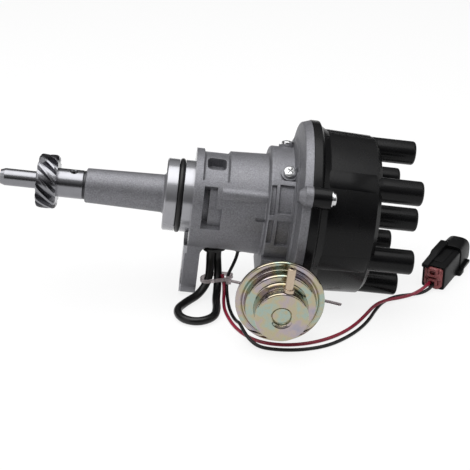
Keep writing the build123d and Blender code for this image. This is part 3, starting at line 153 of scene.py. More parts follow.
RED_ROUTE = [
    (35.3, -10.6, -57.6), (36.4, -12.2, -63.4), (36.4, -16.8, -69.2), (36.0, -25.0, -72.4),
    (36.6, -36.0, -72.4), (39.2, -48.0, -72.4), (43.2, -60.0, -72.4), (49.6, -71.0, -72.4),
    (58.0, -79.4, -72.4), (69.0, -83.8, -72.4), (81.0, -84.6, -72.4), (94.0, -82.0, -72.4),
    (106.0, -76.4, -72.4), (117.0, -68.0, -72.4), (126.0, -57.6, -72.4), (133.4, -46.2, -72.4),
    (141.4, -36.0, -69.6), (150.6, -27.4, -70.4), (160.8, -21.2, -72.2), (171.4, -18.0, -71.2),
    (180.0, -12.6, -68.8), (186.2, -3.6, -68.4), (191.12, 4.9, -68.7),
]

# Studio: half the table's side in metres, how much the table shows as plain white, and what the lamps face
TABLE_HALF = 6.0
TABLE_GLOW = 0.82
LAMP_AIM = Vector((0.02, -0.02, -0.02))
# Name, place and side in metres, and share of the lamp power
LAMPS = (
    ("soft_box_top", (-0.15, -0.05, 1.1), 1.4, 1.35),
    ("soft_box_left", (-1.0, -0.6, 0.4), 0.9, 0.22),
    ("soft_box_right", (1.05, -0.3, 0.5), 0.9, 0.18),
)
# Strength of the world by the height of its direction: dark at the horizon, bright overhead
SKY = ((0.0, 0.05), (0.32, 0.06), (0.56, 0.26), (0.88, 0.6), (1.0, 1.3))


class StageProperties(bpy.types.PropertyGroup):
    """Sizes and colours of the studio."""
    camera_place: bpy.props.FloatVectorProperty(
        name="Camera place", description="Where the camera stands", size=3, unit="LENGTH",
        subtype="TRANSLATION", default=(0.03294, -0.69606, 0.29284))
    camera_aim: bpy.props.FloatVectorProperty(
        name="Camera aim", description="Direction that the camera looks in", size=3,
        subtype="XYZ", default=(0.0151, 0.9062, -0.4226))
    focal_length: bpy.props.FloatProperty(
        name="Focal length", description="Lens in millimetres on a 36 mm frame", unit="CAMERA",
        default=82.65, min=10)
    floor_colour: bpy.props.StringProperty(
        name="Floor colour", description="sRGB hex of the table", default="#f6f6f6")
    lamp_power: bpy.props.FloatProperty(
        name="Lamp power", description="Power that the soft boxes take their shares of, in watts",
        unit="POWER", default=11.0, min=0)


class HarnessProperties(bpy.types.PropertyGroup):
    """Sizes and colours of the sleeve, the wires and the tie."""
    sleeve_diameter: bpy.props.FloatProperty(
        name="Sleeve diameter", description="Outer diameter in millimetres", default=5.8, min=1)
    wire_diameter: bpy.props.FloatProperty(
        name="Wire diameter", description="Outer diameter in millimetres", default=2.4, min=0.5)
    sleeve_colour: bpy.props.StringProperty(
        name="Sleeve colour", description="sRGB hex of the black sleeve", default="#0a0a0a")
    black_colour: bpy.props.StringProperty(
        name="Black wire colour", description="sRGB hex of the black wire", default="#0e0d0e")
    red_colour: bpy.props.StringProperty(
        name="Red wire colour", description="sRGB hex of the maroon wire", default="#82162f")
    tie_colour: bpy.props.StringProperty(
        name="Tie colour", description="sRGB hex of the clear nylon", default="#c8bfc0")


class CastingProperties(bpy.types.PropertyGroup):
    """Colours of the housing and of the turned metal."""
    cast_colour: bpy.props.StringProperty(
        name="Cast colour", description="sRGB hex of the cast aluminium", default="#74747a")
    machined_colour: bpy.props.StringProperty(
        name="Machined colour", description="sRGB hex of the cut aluminium", default="#9a9a9e")
    steel_colour: bpy.props.StringProperty(
        name="Steel colour", description="sRGB hex of the ground steel", default="#8e8e92")
    edge_rounding: bpy.props.FloatProperty(
        name="Edge rounding", description="Cast edge radius in millimetres", default=0.5, min=0)


class MouldingProperties(bpy.types.PropertyGroup):
    """Colours of the cap, the connector and the plated steel."""
    cap_colour: bpy.props.StringProperty(
        name="Cap colour", description="sRGB hex of the moulded cap", default="#070708")
    zinc_colour: bpy.props.StringProperty(
        name="Zinc colour", description="sRGB hex of the yellow passivated zinc", default="#aea589")
    connector_colour: bpy.props.StringProperty(
        name="Connector colour", description="sRGB hex of the connector's shell", default="#0a0a0b")
    insert_colour: bpy.props.StringProperty(
        name="Insert colour", description="sRGB hex of the connector's insert", default="#7d3f40")


def linear(hex_colour, factor=1.0, lift=0.0):
    """An sRGB hex colour as a linear RGBA tuple, its channels times factor plus lift."""
    channels = [int(hex_colour[i:i + 2], 16) / 255 for i in (1, 3, 5)]
    channels = [c / 12.92 if c <= 0.04045 else ((c + 0.055) / 1.055) ** 2.4 for c in channels]
    return tuple(min(1.0, factor * c + lift) for c in channels) + (1.0,)


def add_node(tree, kind, inputs=None, **settings):
    """Adds one node with its settings; inputs maps a socket's name or number to a value or another socket."""
    node = tree.nodes.new(kind)
    for name, value in settings.items():
        setattr(node, name, value)
    for key, value in (inputs or {}).items():
        if isinstance(value, bpy.types.NodeSocket):
            tree.links.new(value, node.inputs[key])
        else:
            node.inputs[key].default_value = value
    return node


def new_material(name, **sockets):
    """A material, its tree, its Principled shader and the object coordinates."""
    material = bpy.data.materials.new(name)
    material.use_nodes = True
    tree = material.node_tree
    shader = tree.nodes["Principled BSDF"]
    for key, value in sockets.items():
        shader.inputs[key.replace("_", " ")].default_value = value
    coords = add_node(tree, "ShaderNodeTexCoord").outputs["Object"]
    return material, tree, shader, coords


def set_stops(ramp, stops):
    """Gives a colour ramp its stops, as (position, linear RGBA)."""
    for position, colour in stops[1:-1]:
        ramp.elements.new(position)
    for element, (position, colour) in zip(ramp.elements, stops):
        element.position = position
        element.color = colour


def shaft_coordinates(tree, coords):
    """Height above the seat and distance from the shaft's axis, sqrt(length^2 - along^2), in millimetres."""
    along = add_node(tree, "ShaderNodeVectorMath", {0: coords, 1: tuple(AXIS)},
                     operation="DOT_PRODUCT").outputs["Value"]
    length = add_node(tree, "ShaderNodeVectorMath", {0: coords}, operation="LENGTH").outputs["Value"]
    whole = add_node(tree, "ShaderNodeMath", {0: length, 1: length}, operation="MULTIPLY").outputs[0]
    part = add_node(tree, "ShaderNodeMath", {0: along, 1: along}, operation="MULTIPLY").outputs[0]
    rest = add_node(tree, "ShaderNodeMath", {0: whole, 1: part}, operation="SUBTRACT").outputs[0]
    across = add_node(tree, "ShaderNodeMath", {0: rest}, operation="SQRT").outputs[0]
    height = add_node(tree, "ShaderNodeMath", {0: along, 1: 1 / MM, 2: -SEAT},
                      operation="MULTIPLY_ADD").outputs[0]
    distance = add_node(tree, "ShaderNodeMath", {0: across, 1: 1 / MM}, operation="MULTIPLY").outputs[0]
    return height, distance


def ring_mask(tree, height, across, heights, radii, soft=0.15):
    """1 on the ring between two heights and two radii, with soft edges."""
    inside = []
    for value, (low, high) in ((height, heights), (across, radii)):
        rise, fall = [
            add_node(tree, "ShaderNodeMapRange", {0: value, 1: edge - soft, 2: edge + soft}).outputs[0]
            for edge in (low, high)]
        inside.append(add_node(tree, "ShaderNodeMath", {0: rise, 1: fall}, operation="SUBTRACT").outputs[0])
    return add_node(tree, "ShaderNodeMath", {0: inside[0], 1: inside[1]}, operation="MULTIPLY").outputs[0]


def set_bump(tree, shader, height, depth, strength=1.0, rounding=0.35):
    """Bump from a height between 0 and 1, on edges broken by a rounding; depth and rounding in mm."""
    broken = add_node(tree, "ShaderNodeBevel", {"Radius": rounding * MM}, samples=6).outputs[0]
    bump = add_node(tree, "ShaderNodeBump", {"Height": height, "Distance": depth * MM, "Strength": strength,
                                             "Normal": broken})
    tree.links.new(bump.outputs["Normal"], shader.inputs["Normal"])


def cast_aluminium(settings):
    """Pressure-cast aluminium, lightly blasted: a dull blue-grey grain with pale specks.

    Cut faces are brighter, with turning marks. The real grain of about 0.2 mm is too fine to show in the
    render, so it is drawn at 0.5 mm.
    """
    material, tree, shader, coords = new_material("blasted_cast_aluminium", Metallic=0.7)
    height, across = shaft_coordinates(tree, coords)
    pilot = ring_mask(tree, height, across, PILOT_HEIGHTS, PILOT_RADII)
    pad = ring_mask(tree, height, across, PAD_HEIGHTS, PAD_RADII)
    cut = add_node(tree, "ShaderNodeMath", {0: pilot, 1: pad}, operation="MAXIMUM").outputs[0]
    # Grain, patches and specks of 0.5, 9 and 0.9 mm
    grain, mottle, speck = [
        add_node(tree, "ShaderNodeTexNoise", {"Vector": coords, "Scale": 1 / (size * MM), "Detail": detail,
                                              "Roughness": roughness}).outputs["Fac"]
        for size, detail, roughness in ((0.5, 4, 0.55), (9.0, 4, 0.6), (0.9, 5, 0.7))]
    cast = add_node(tree, "ShaderNodeMix", {0: mottle, 6: linear("#5d5d60"), 7: linear(settings.cast_colour)},
                    data_type="RGBA").outputs[2]
    # The palest specks cover 0.34 of the colour under them
    share = add_node(tree, "ShaderNodeMapRange", {0: speck, 1: 0.35, 2: 0.65}).outputs[0]
    share = add_node(tree, "ShaderNodeMath", {0: share, 1: 0.34}, operation="MULTIPLY").outputs[0]
    cast = add_node(tree, "ShaderNodeMix", {0: share, 6: cast, 7: linear("#b4b4b8")},
                    data_type="RGBA").outputs[2]
    colour = add_node(tree, "ShaderNodeMix", {0: cut, 6: cast, 7: linear(settings.machined_colour)},
                      data_type="RGBA").outputs[2]
    tree.links.new(colour, shader.inputs["Base Color"])
    dull = add_node(tree, "ShaderNodeMapRange", {0: mottle, 3: 0.44, 4: 0.6}).outputs[0]
    gloss = add_node(tree, "ShaderNodeMix", {0: cut, 2: dull, 3: 0.2}, data_type="FLOAT").outputs[0]
    tree.links.new(gloss, shader.inputs["Roughness"])
    # Turning marks, 0.35 mm apart up the shaft and a fifth as deep as the grain
    marks = add_node(tree, "ShaderNodeCombineXYZ", {0: height, 1: 0.0}).outputs[0]
    marks = add_node(tree, "ShaderNodeTexNoise", {"Vector": marks, "Scale": 1 / 0.35, "Detail": 2,
                                                  "Roughness": 0.55}).outputs["Fac"]
    marks = add_node(tree, "ShaderNodeMath", {0: marks, 1: 0.2}, operation="MULTIPLY").outputs[0]
    relief = add_node(tree, "ShaderNodeMix", {0: cut, 2: grain, 3: marks}, data_type="FLOAT").outputs[0]
    set_bump(tree, shader, relief, 0.16, 1.0, settings.edge_rounding)
    return material


def ground_steel(settings):
    """Ground carbon steel, lightly oiled: bright, with fine rings round the shaft's axis and faint stains.

    Real grinding marks are too fine to show in the render, so the rings are drawn 0.3 mm apart. The stains
    are 12 mm across.
    """
    material, tree, shader, coords = new_material("ground_carbon_steel", Metallic=1.0)
    height, across = shaft_coordinates(tree, coords)
    rings = add_node(tree, "ShaderNodeCombineXYZ", {0: height, 1: across}).outputs[0]
    rings = add_node(tree, "ShaderNodeTexNoise", {"Vector": rings, "Scale": 1 / 0.3, "Detail": 3,
                                                  "Roughness": 0.55}).outputs["Fac"]
    stain = add_node(tree, "ShaderNodeTexNoise", {"Vector": coords, "Scale": 1 / (12 * MM), "Detail": 3,
                                                  "Roughness": 0.55}).outputs["Fac"]
    colour = add_node(tree, "ShaderNodeMix",
                      {0: stain, 6: linear("#7a7a7e"), 7: linear(settings.steel_colour)},
                      data_type="RGBA").outputs[2]
    tree.links.new(colour, shader.inputs["Base Color"])
    gloss = add_node(tree, "ShaderNodeMapRange", {0: rings, 3: 0.14, 4: 0.3}).outputs[0]
    tree.links.new(gloss, shader.inputs["Roughness"])
    set_bump(tree, shader, rings, 0.02, 0.6)
    return material


def plain_metal(name, colour, roughness, grain=1.2, depth=0.02):
    """Metal with an uneven grain, of a size in millimetres, in its gloss and down to 0.72 of its colour."""
    material, tree, shader, coords = new_material(name, Metallic=1.0)
    spots = add_node(tree, "ShaderNodeTexNoise", {"Vector": coords, "Scale": 1 / (grain * MM), "Detail": 4,
                                                  "Roughness": 0.55}).outputs["Fac"]
    tint = add_node(tree, "ShaderNodeMix", {0: spots, 6: linear(colour, 0.72), 7: linear(colour)},
                    data_type="RGBA").outputs[2]
    tree.links.new(tint, shader.inputs["Base Color"])
    gloss = add_node(tree, "ShaderNodeMapRange",
                     {0: spots, 3: roughness * 0.75, 4: roughness * 1.3}).outputs[0]
    tree.links.new(gloss, shader.inputs["Roughness"])
    set_bump(tree, shader, spots, depth)
    return material


def plain_moulding(name, colour, roughness, grain=0.6, depth=0.03, specular=0.5):
    """Moulded plastic or rubber: an orange-peel of a size in mm, and clouds of gloss 14 mm across."""
    material, tree, shader, coords = new_material(name, Specular_IOR_Level=specular)
    spots, cloud = [
        add_node(tree, "ShaderNodeTexNoise", {"Vector": coords, "Scale": 1 / (size * MM), "Detail": 3,
                                              "Roughness": 0.55}).outputs["Fac"] for size in (grain, 14)]
    tint = add_node(tree, "ShaderNodeMix", {0: cloud, 6: linear(colour), 7: linear(colour, 1.35, 0.002)},
                    data_type="RGBA").outputs[2]
    tree.links.new(tint, shader.inputs["Base Color"])
    gloss = add_node(tree, "ShaderNodeMapRange",
                     {0: cloud, 3: roughness * 0.8, 4: roughness * 1.25}).outputs[0]
    tree.links.new(gloss, shader.inputs["Roughness"])
    set_bump(tree, shader, spots, depth)
    return material


def yellow_zinc(settings):
    """Zinc plate under yellow chromate, on bright pressed steel: a straw film with clouds 16 mm across."""
    material, tree, shader, coords = new_material("yellow_passivated_zinc", Metallic=1.0)
    cloud, fine = [
        add_node(tree, "ShaderNodeTexNoise", {"Vector": coords, "Scale": 1 / (size * MM), "Detail": 3,
                                              "Roughness": roughness}).outputs["Fac"]
        for size, roughness in ((16, 0.6), (1.5, 0.55))]
    film = add_node(tree, "ShaderNodeValToRGB", {0: cloud})
    # The film's colour goes with its thickness: lilac, pink, straw, green and gold
    stops = ((0.28, "#9896a4"), (0.40, "#ab9f9f"), (0.50, settings.zinc_colour), (0.60, "#9aaba2"),
             (0.72, "#b59d6c"))
    set_stops(film.color_ramp, [(position, linear(colour)) for position, colour in stops])
    tree.links.new(film.outputs[0], shader.inputs["Base Color"])
    gloss = add_node(tree, "ShaderNodeMapRange", {0: fine, 3: 0.08, 4: 0.16}).outputs[0]
    tree.links.new(gloss, shader.inputs["Roughness"])
    set_bump(tree, shader, fine, 0.02)
    return material


def clear_nylon(settings):
    """Clear nylon: lets what it binds show through, dark over the sleeve and pale over the table.

    The strap is too thin to bend the view behind it, so its IOR is below the solid's 1.53.
    """
    material = plain_moulding("clear_nylon", settings.tie_colour, 0.3, 0.8, 0.02)
    shader = material.node_tree.nodes["Principled BSDF"]
    shader.inputs["Transmission Weight"].default_value = 0.6
    shader.inputs["IOR"].default_value = 1.2
    return material


def make_materials(scene):
    """Every finish, by the record's material slot."""
    casting = scene.distributor_casting
    moulding = scene.distributor_moulding
    harness = scene.distributor_harness
    return {
        "cast_aluminium": cast_aluminium(casting),
        "ground_steel": ground_steel(casting),
        "yellow_zinc": yellow_zinc(moulding),
        # Zinc-plated tube, thinly passivated: a paler, pinker straw than the pressed shells
        "nipple_zinc": plain_metal("passivated_steel_nipple", "#c9b6a0", 0.3),
        # Oiled dark steel: the pin and plates show little but a dull glint
        "dark_steel": plain_metal("oiled_dark_steel", "#4a4a4c", 0.35),
        # Sintered bronze: warm, matt and porous
        "sintered_bronze": plain_metal("sintered_bronze", "#b08a52", 0.45, 0.4, 0.05),
        # Zinc-plated steel: even, light and half bright
        "plated_steel": plain_metal("zinc_plated_steel", "#bcbcb4", 0.35),
        # Drawn spring steel: grey with a clear line of light along the wire
        "spring_steel": plain_metal("spring_steel", "#8f8f92", 0.3),
        # Nickel-plated screws: the brightest metal, nearly a mirror
        "chromed_steel": plain_metal("nickel_plated_screws", "#d9d9da", 0.14),
        # Rolled brass: yellow and half bright
        "brass": plain_metal("rolled_brass", "#cfae62", 0.28),
        # Tinned copper: a pink-brown glint inside the connector
        "copper": plain_metal("tinned_copper_contact", "#c08a78", 0.3),
        # Turned aluminium: pale and half bright
        "terminal_aluminium": plain_metal("turned_aluminium_terminal", "#cfcfd0", 0.3),
        # Compression-moulded phenolic: nearly black, with a tight soft gloss
        "cap_moulding": plain_moulding("phenolic_cap", moulding.cap_colour, 0.26, 0.5, 0.02, 0.17),
        # Phenolic rotor: dark brown-black, duller than the cap
        "black_moulding": plain_moulding("phenolic_rotor", "#1e1d1d", 0.45),
        # Cast resin round the coil: brown and waxy
        "brown_moulding": plain_moulding("coil_moulding", "#57402e", 0.5),
        # Pressed carbon: matt dark grey
        "carbon": plain_moulding("brush_carbon", "#222222", 0.6),
        # Moulded nitrile rubber: black, with a broad low sheen
        "black_rubber": plain_moulding("nitrile_rubber", "#0c0c0c", 0.35, 0.4, 0.02, 0.35),
        # Moulded glass-filled nylon: black and dull
        "connector_black": plain_moulding("nylon_connector", moulding.connector_colour, 0.36, 0.4, 0.03, 0.1),
        # Moulded nylon in red-brown: soft and dull
        "connector_brown": plain_moulding("nylon_insert", moulding.insert_colour, 0.48, 0.5, 0.03),
        # Extruded soft vinyl: black sleeve with a long soft streak of light
        "sleeve_vinyl": plain_moulding("vinyl_sleeve", harness.sleeve_colour, 0.3, 0.8, 0.02, 0.35),
        # Extruded vinyl: black wire, a little duller than the sleeve
        "black_vinyl": plain_moulding("black_vinyl_wire", harness.black_colour, 0.36, 0.8, 0.02, 0.35),
        # Extruded vinyl: maroon wire with a pale streak of light
        "red_vinyl": plain_moulding("maroon_vinyl_wire", harness.red_colour, 0.36, 0.8, 0.02),
        "tie_nylon": clear_nylon(harness),
    }


def finish_node(obj, node):
    """Gives an object the finish of a node's slot."""
    obj.data.materials.clear()
    obj.data.materials.append(MATERIALS[SLOT_OF[node]])


def stand_for(obj, node):
    """Lets an object stand for a node, on the node's body and in its finish."""
    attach(obj, BODY_OF[node])
    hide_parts(node)
    finish_node(obj, node)


def shaft_point(height, up=0.0, front=0.0):
    """One point in millimetres from a height on the shaft's axis and offsets up and to the front."""
    return (height + SEAT) * AXIS + up * UP + front * FRONT


def outward(angle):
    """Direction across the shaft, from up (0) to the front (90 degrees)."""
    return cos(radians(angle)) * UP + sin(radians(angle)) * FRONT


def eased(corners, steps=5):
    """A turned profile: straight runs between corners, each corner a parabola from one run to the next.

    corners holds (depth, radius, ease); the parabola is (1-t)^2 A + 2t(1-t) C + t^2 B, with A and B an ease
    from C.
    """
    spots = np.array([corner[:2] for corner in corners], float)
    ease = np.array([corner[2] if len(corner) > 2 else 0.0 for corner in corners])
    before, after = spots - np.roll(spots, 1, 0), np.roll(spots, -1, 0) - spots
    run_in, run_out = (np.maximum(np.linalg.norm(run, axis=1), 1e-9) for run in (before, after))
    # No ease takes more than 0.48 of its run, so that two of them never cross
    first = spots - before / run_in[:, None] * np.minimum(ease, 0.48 * run_in)[:, None]
    last = spots + after / run_out[:, None] * np.minimum(ease, 0.48 * run_out)[:, None]
    t = np.linspace(0, 1, steps)[None, :, None]
    curve = (1 - t) ** 2 * first[:, None] + 2 * t * (1 - t) * spots[:, None] + t ** 2 * last[:, None]
    curve[0], curve[-1] = spots[0], spots[-1]
    return curve.reshape(-1, 2)


def turned(profile, centre, axis, side, segments=96):
    """Turned surface: centre + axis * depth + radius * (cos(t) side + sin(t) axis x side), lengths in mm."""
    t = np.linspace(0, 2 * pi, segments, endpoint=False)
    ring = np.cos(t)[:, None] * side + np.sin(t)[:, None] * np.cross(axis, side)
    return (centre + profile[:, :1, None] * axis + profile[:, 1:, None] * ring) * MM


def coiled(centre, axis, side, first, last, radius, wire, turns, steps=24):
    """Coil of round wire: centre + (radius + wire cos(s)) * out(t) + (depth(t) + wire sin(s)) * axis.

    out(t) turns about the axis, and depth(t) goes from first to last, flat over the first and last 3/4 turn.
    """
    t = np.linspace(0, turns, int(turns * steps) + 1)
    depth = first + wire + (last - first - 2 * wire) * np.clip((t - 0.75) / (turns - 1.5), 0, 1)
    out = np.cos(2 * pi * t)[:, None] * side + np.sin(2 * pi * t)[:, None] * np.cross(axis, side)
    s = np.linspace(0, 2 * pi, 10, endpoint=False)
    shrink = np.r_[0, np.ones(len(t)), 0][:, None, None]
    out, depth = np.r_[out[:1], out, out[-1:]], np.r_[depth[:1], depth, depth[-1:]]
    around = np.cos(s)[None, :, None] * out[:, None] + np.sin(s)[None, :, None] * axis
    return (centre + depth[:, None, None] * axis + radius * out[:, None] + shrink * wire * around) * MM


def lofted(sections, origin, run, side, up, segments=96, ends=True):
    """Rounded bar along run: every section is |x/a|^n + |y/b|^n = 1, with its own place, a, b and n.

    sections holds (depth, x, y, a, b, n), all but n in mm. With ends, both ends close to a point.
    """
    rows = np.array(sections, float)
    if ends:
        rows = np.vstack([rows[:1], rows, rows[-1:]])
        rows[[0, -1], 3:5] = 0.0
    t = np.linspace(0, 2 * pi, segments, endpoint=False) + pi / segments
    power = 2 / rows[:, 5:6]
    x = rows[:, 1:2] + rows[:, 3:4] * np.sign(np.cos(t)) * np.abs(np.cos(t)) ** power
    y = rows[:, 2:3] + rows[:, 4:5] * np.sign(np.sin(t)) * np.abs(np.sin(t)) ** power
    return (origin + rows[:, :1, None] * run + x[..., None] * side + y[..., None] * up) * MM


def cross_head(centre, axis, side, shank_length):
    """Pan head screw with a cross recess, its top z = height - crown * r^2 - depth * cut.

    cut is min(slope * (half width of an arm - distance to it), end slope * (arm length - distance out))
    plus a lead, held between 0 and 1.
    """
    spokes, rings = 96, 44
    crown, depth, lead = 0.055, 1.7, 0.15
    arm_half, arm_length, slope, end_slope = 0.42, 2.5, 5.0, 1.6
    r = np.linspace(0, 1, rings)[:, None] * (PAN_RADIUS - PAN_EDGE)
    t = np.linspace(0, 2 * pi, spokes, endpoint=False)[None, :]
    x, y = r * np.cos(t), r * np.sin(t)
    arm = np.maximum(arm_half - np.minimum(np.abs(x), np.abs(y)), -0.3)
    reach = arm_length - np.maximum(np.abs(x), np.abs(y))
    cut = np.clip(np.minimum(arm * slope, reach * end_slope) + lead, 0, 1)
    top = PAN_HEIGHT - crown * r ** 2 + 0 * t - depth * cut
    spot = top[..., None] * axis + x[..., None] * side + y[..., None] * np.cross(axis, side)
    rim = top[-1].mean()
    wall = eased([(rim, PAN_RADIUS - PAN_EDGE), (PAN_HEIGHT - 1.15, PAN_RADIUS, 0.8), (0.25, PAN_RADIUS, 0.2),
                  (0.0, PAN_RADIUS - 0.25), (0.0, SHANK_RADIUS), (-shank_length, SHANK_RADIUS),
                  (-shank_length, 0.0)])
    return [(centre + spot) * MM, turned(wall, centre, axis, side, spokes)]


def skin(name, grids, sharp=38.0):
    """One mesh from grids of points in metres; each grid closes round its second axis, its poles merged."""
    points, faces, start = [], [], 0
    for grid in grids:
        rows, columns = grid.shape[:2]
        index = start + np.arange(rows * columns).reshape(rows, columns)
        turned_on = np.roll(index, -1, axis=1)
        faces.append(np.stack([index[:-1], turned_on[:-1], turned_on[1:], index[1:]], -1).reshape(-1, 4))
        points.append(grid.reshape(-1, 3))
        start += rows * columns
    mesh = bpy.data.meshes.new(name)
    mesh.from_pydata(np.concatenate(points).tolist(), [], np.concatenate(faces).tolist())
    work = bmesh.new()
    work.from_mesh(mesh)
    bmesh.ops.remove_doubles(work, verts=work.verts, dist=2e-7)
    bmesh.ops.recalc_face_normals(work, faces=work.faces)
    work.to_mesh(mesh)
    work.free()
    mesh.shade_smooth()
    mesh.set_sharp_from_angle(angle=radians(sharp))
    obj = bpy.data.objects.new(name, mesh)
    bpy.context.scene.collection.objects.link(obj)
    return obj


def cord_curve(name, route, diameter):
    """A NURBS curve whose control points are the route's, each with the cord's radius on a 1 m bevel."""
    curve = bpy.data.curves.new(name, "CURVE")
    curve.dimensions = "3D"
    curve.bevel_depth = 1.0
    curve.bevel_resolution = 6
    curve.resolution_u = 10
    curve.use_fill_caps = True
    spline = curve.splines.new("NURBS")
    spline.points.add(len(route) - 1)
    spline.points.foreach_set("co", np.c_[np.array(route) * MM, np.ones(len(route))].ravel())
    spline.points.foreach_set("radius", [diameter / 2 * MM] * len(route))
    spline.order_u = 3
    spline.use_endpoint_u = True
    obj = bpy.data.objects.new(name, curve)
    bpy.context.collection.objects.link(obj)
    return obj


class DISTRIBUTOR_OT_materials(bpy.types.Operator):
    """Makes every finish and gives each node its own"""
    bl_idname = "distributor.materials"
    bl_label = "Finishes"

    def execute(self, context):
        MATERIALS.update(make_materials(context.scene))
        for name, node in frame["nodes"].items():
            finish_node(node, name)
        return {"FINISHED"}


class DISTRIBUTOR_OT_vacuum_unit(bpy.types.Operator):
    """Makes the two pressed shells of the vacuum unit, and its spring"""
    bl_idname = "distributor.vacuum_unit"
    bl_label = "Vacuum unit"

    def execute(self, context):
        centre = shaft_point(UNIT_HEIGHT, UNIT_UP, UNIT_FRONT)
        for name, corners, node in (("vacuum_cup", CUP_CORNERS, "vacuum_front_shell"),
                                    ("vacuum_back", BACK_CORNERS, "vacuum_rear_shell")):
            profile = eased(corners, steps=8)
            stand_for(skin(name, [turned(profile, centre, FRONT, UP, segments=160)]), node)
        coil = skin("vacuum_coil", [coiled(centre, FRONT, UP, PLATE_FACE + SPRING_GAP, CUP_FLOOR,
                                           SPRING_RADIUS, SPRING_WIRE, SPRING_TURNS)])
        stand_for(coil, "vacuum_spring")
        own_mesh(coil)
        return {"FINISHED"}


class DISTRIBUTOR_OT_screws(bpy.types.Operator):
    """Makes the pan head screws of the bowl and of the cap"""
    bl_idname = "distributor.screws"
    bl_label = "Cross head screws"

    def execute(self, context):
        straight, turn = RECESS_TURN
        grids = []
        for angle in BOWL_SCREW_ANGLES:
            out = outward(angle)
            grids += cross_head(shaft_point(BOWL_SCREW_HEIGHT) + BOWL_SCREW_SEAT * out, out,
                                np.cross(out, AXIS) * straight + AXIS * turn, BOWL_SHANK)
        stand_for(skin("bowl_pan_heads", grids), "bowl_screws")
        grids = []
        for angle in CAP_SCREW_ANGLES:
            out = outward(angle)
            grids += cross_head(shaft_point(CAP_SCREW_HEIGHT) + CAP_SCREW_CIRCLE * out, AXIS,
                                out * straight + np.cross(AXIS, out) * turn, CAP_SHANK)
        stand_for(skin("cap_pan_heads", grids), "cap_screws")
        return {"FINISHED"}


class DISTRIBUTOR_OT_cap_ribs(bpy.types.Operator):
    """Carries the towers' rounds down the side of the cap's body as low ribs"""
    bl_idname = "distributor.cap_ribs"
    bl_label = "Cap ribs"

    def execute(self, context):
        grids = [lofted(SIDE_RIB, shaft_point(0), AXIS, np.cross(AXIS, outward(angle)), outward(angle),
                        segments=64) for angle in TOWER_ANGLES]
        ribs = skin("cap_side_ribs", grids)
        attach(ribs, BODY_OF["cap"])
        finish_node(ribs, "cap")
        return {"FINISHED"}


class DISTRIBUTOR_OT_connector(bpy.types.Operator):
    """Makes the connector's shell with its latch, lever and rail, and its insert"""
    bl_idname = "distributor.connector"
    bl_label = "Connector"

    def execute(self, context):
        run = np.array([cos(CONNECTOR_YAW), sin(CONNECTOR_YAW), 0.0])
        side = np.array([-sin(CONNECTOR_YAW), cos(CONNECTOR_YAW), 0.0])
        up = np.array([0.0, 0.0, 1.0])
        stand_for(skin("connector_housing", [lofted(part, CONNECTOR_ORIGIN, run, side, up)
                                             for part in (SHELL, LATCH, GUARD, FOOT, LEVER, RAIL)]),
                  "connector_shell")
        grids = [lofted(SEAT_BLOCK, CONNECTOR_ORIGIN, run, side, up)]
        for rise in COLLAR_RISES:
            collar = [(depth, x, rise, *sizes) for depth, x, _, *sizes in COLLAR]
            grids.append(lofted(collar, CONNECTOR_ORIGIN, run, side, up, ends=False))
            for edge in COLLAR_RIB_SIDES:
                rib = [(depth, edge, rise, *sizes) for depth, _, _, *sizes in COLLAR_RIB]
                grids.append(lofted(rib, CONNECTOR_ORIGIN, run, side, up, segments=48))
        grids += [lofted(part, CONNECTOR_ORIGIN, run, side, up, segments=48) for part in (BOSS, BULB)]
        stand_for(skin("connector_seat", grids), "connector_insert")
        return {"FINISHED"}


class DISTRIBUTOR_OT_harness(bpy.types.Operator):
    """Lays the sleeve and the two wires"""
    bl_idname = "distributor.harness"
    bl_label = "Harness"

    def execute(self, context):
        sizes = context.scene.distributor_harness
        connector = [bpy.data.objects["connector_housing"], bpy.data.objects["connector_seat"],
                     frame["nodes"]["connector_contact"]]
        tie = [frame["nodes"]["cable_tie"]]
        for name, route, diameter, length, far_end, with_pieces in (
            ("sleeve_loop", SLEEVE_ROUTE, sizes.sleeve_diameter, SLEEVE_LENGTH, "object", tie),
            ("black_wire", BLACK_ROUTE, sizes.wire_diameter, BLACK_LENGTH, "connector", connector),
            ("red_wire", RED_ROUTE, sizes.wire_diameter, RED_LENGTH, "connector", connector),
        ):
            cord = cord_curve(f"{name}_laid", route, diameter)
            stand_for(cord, name)
        return {"FINISHED"}


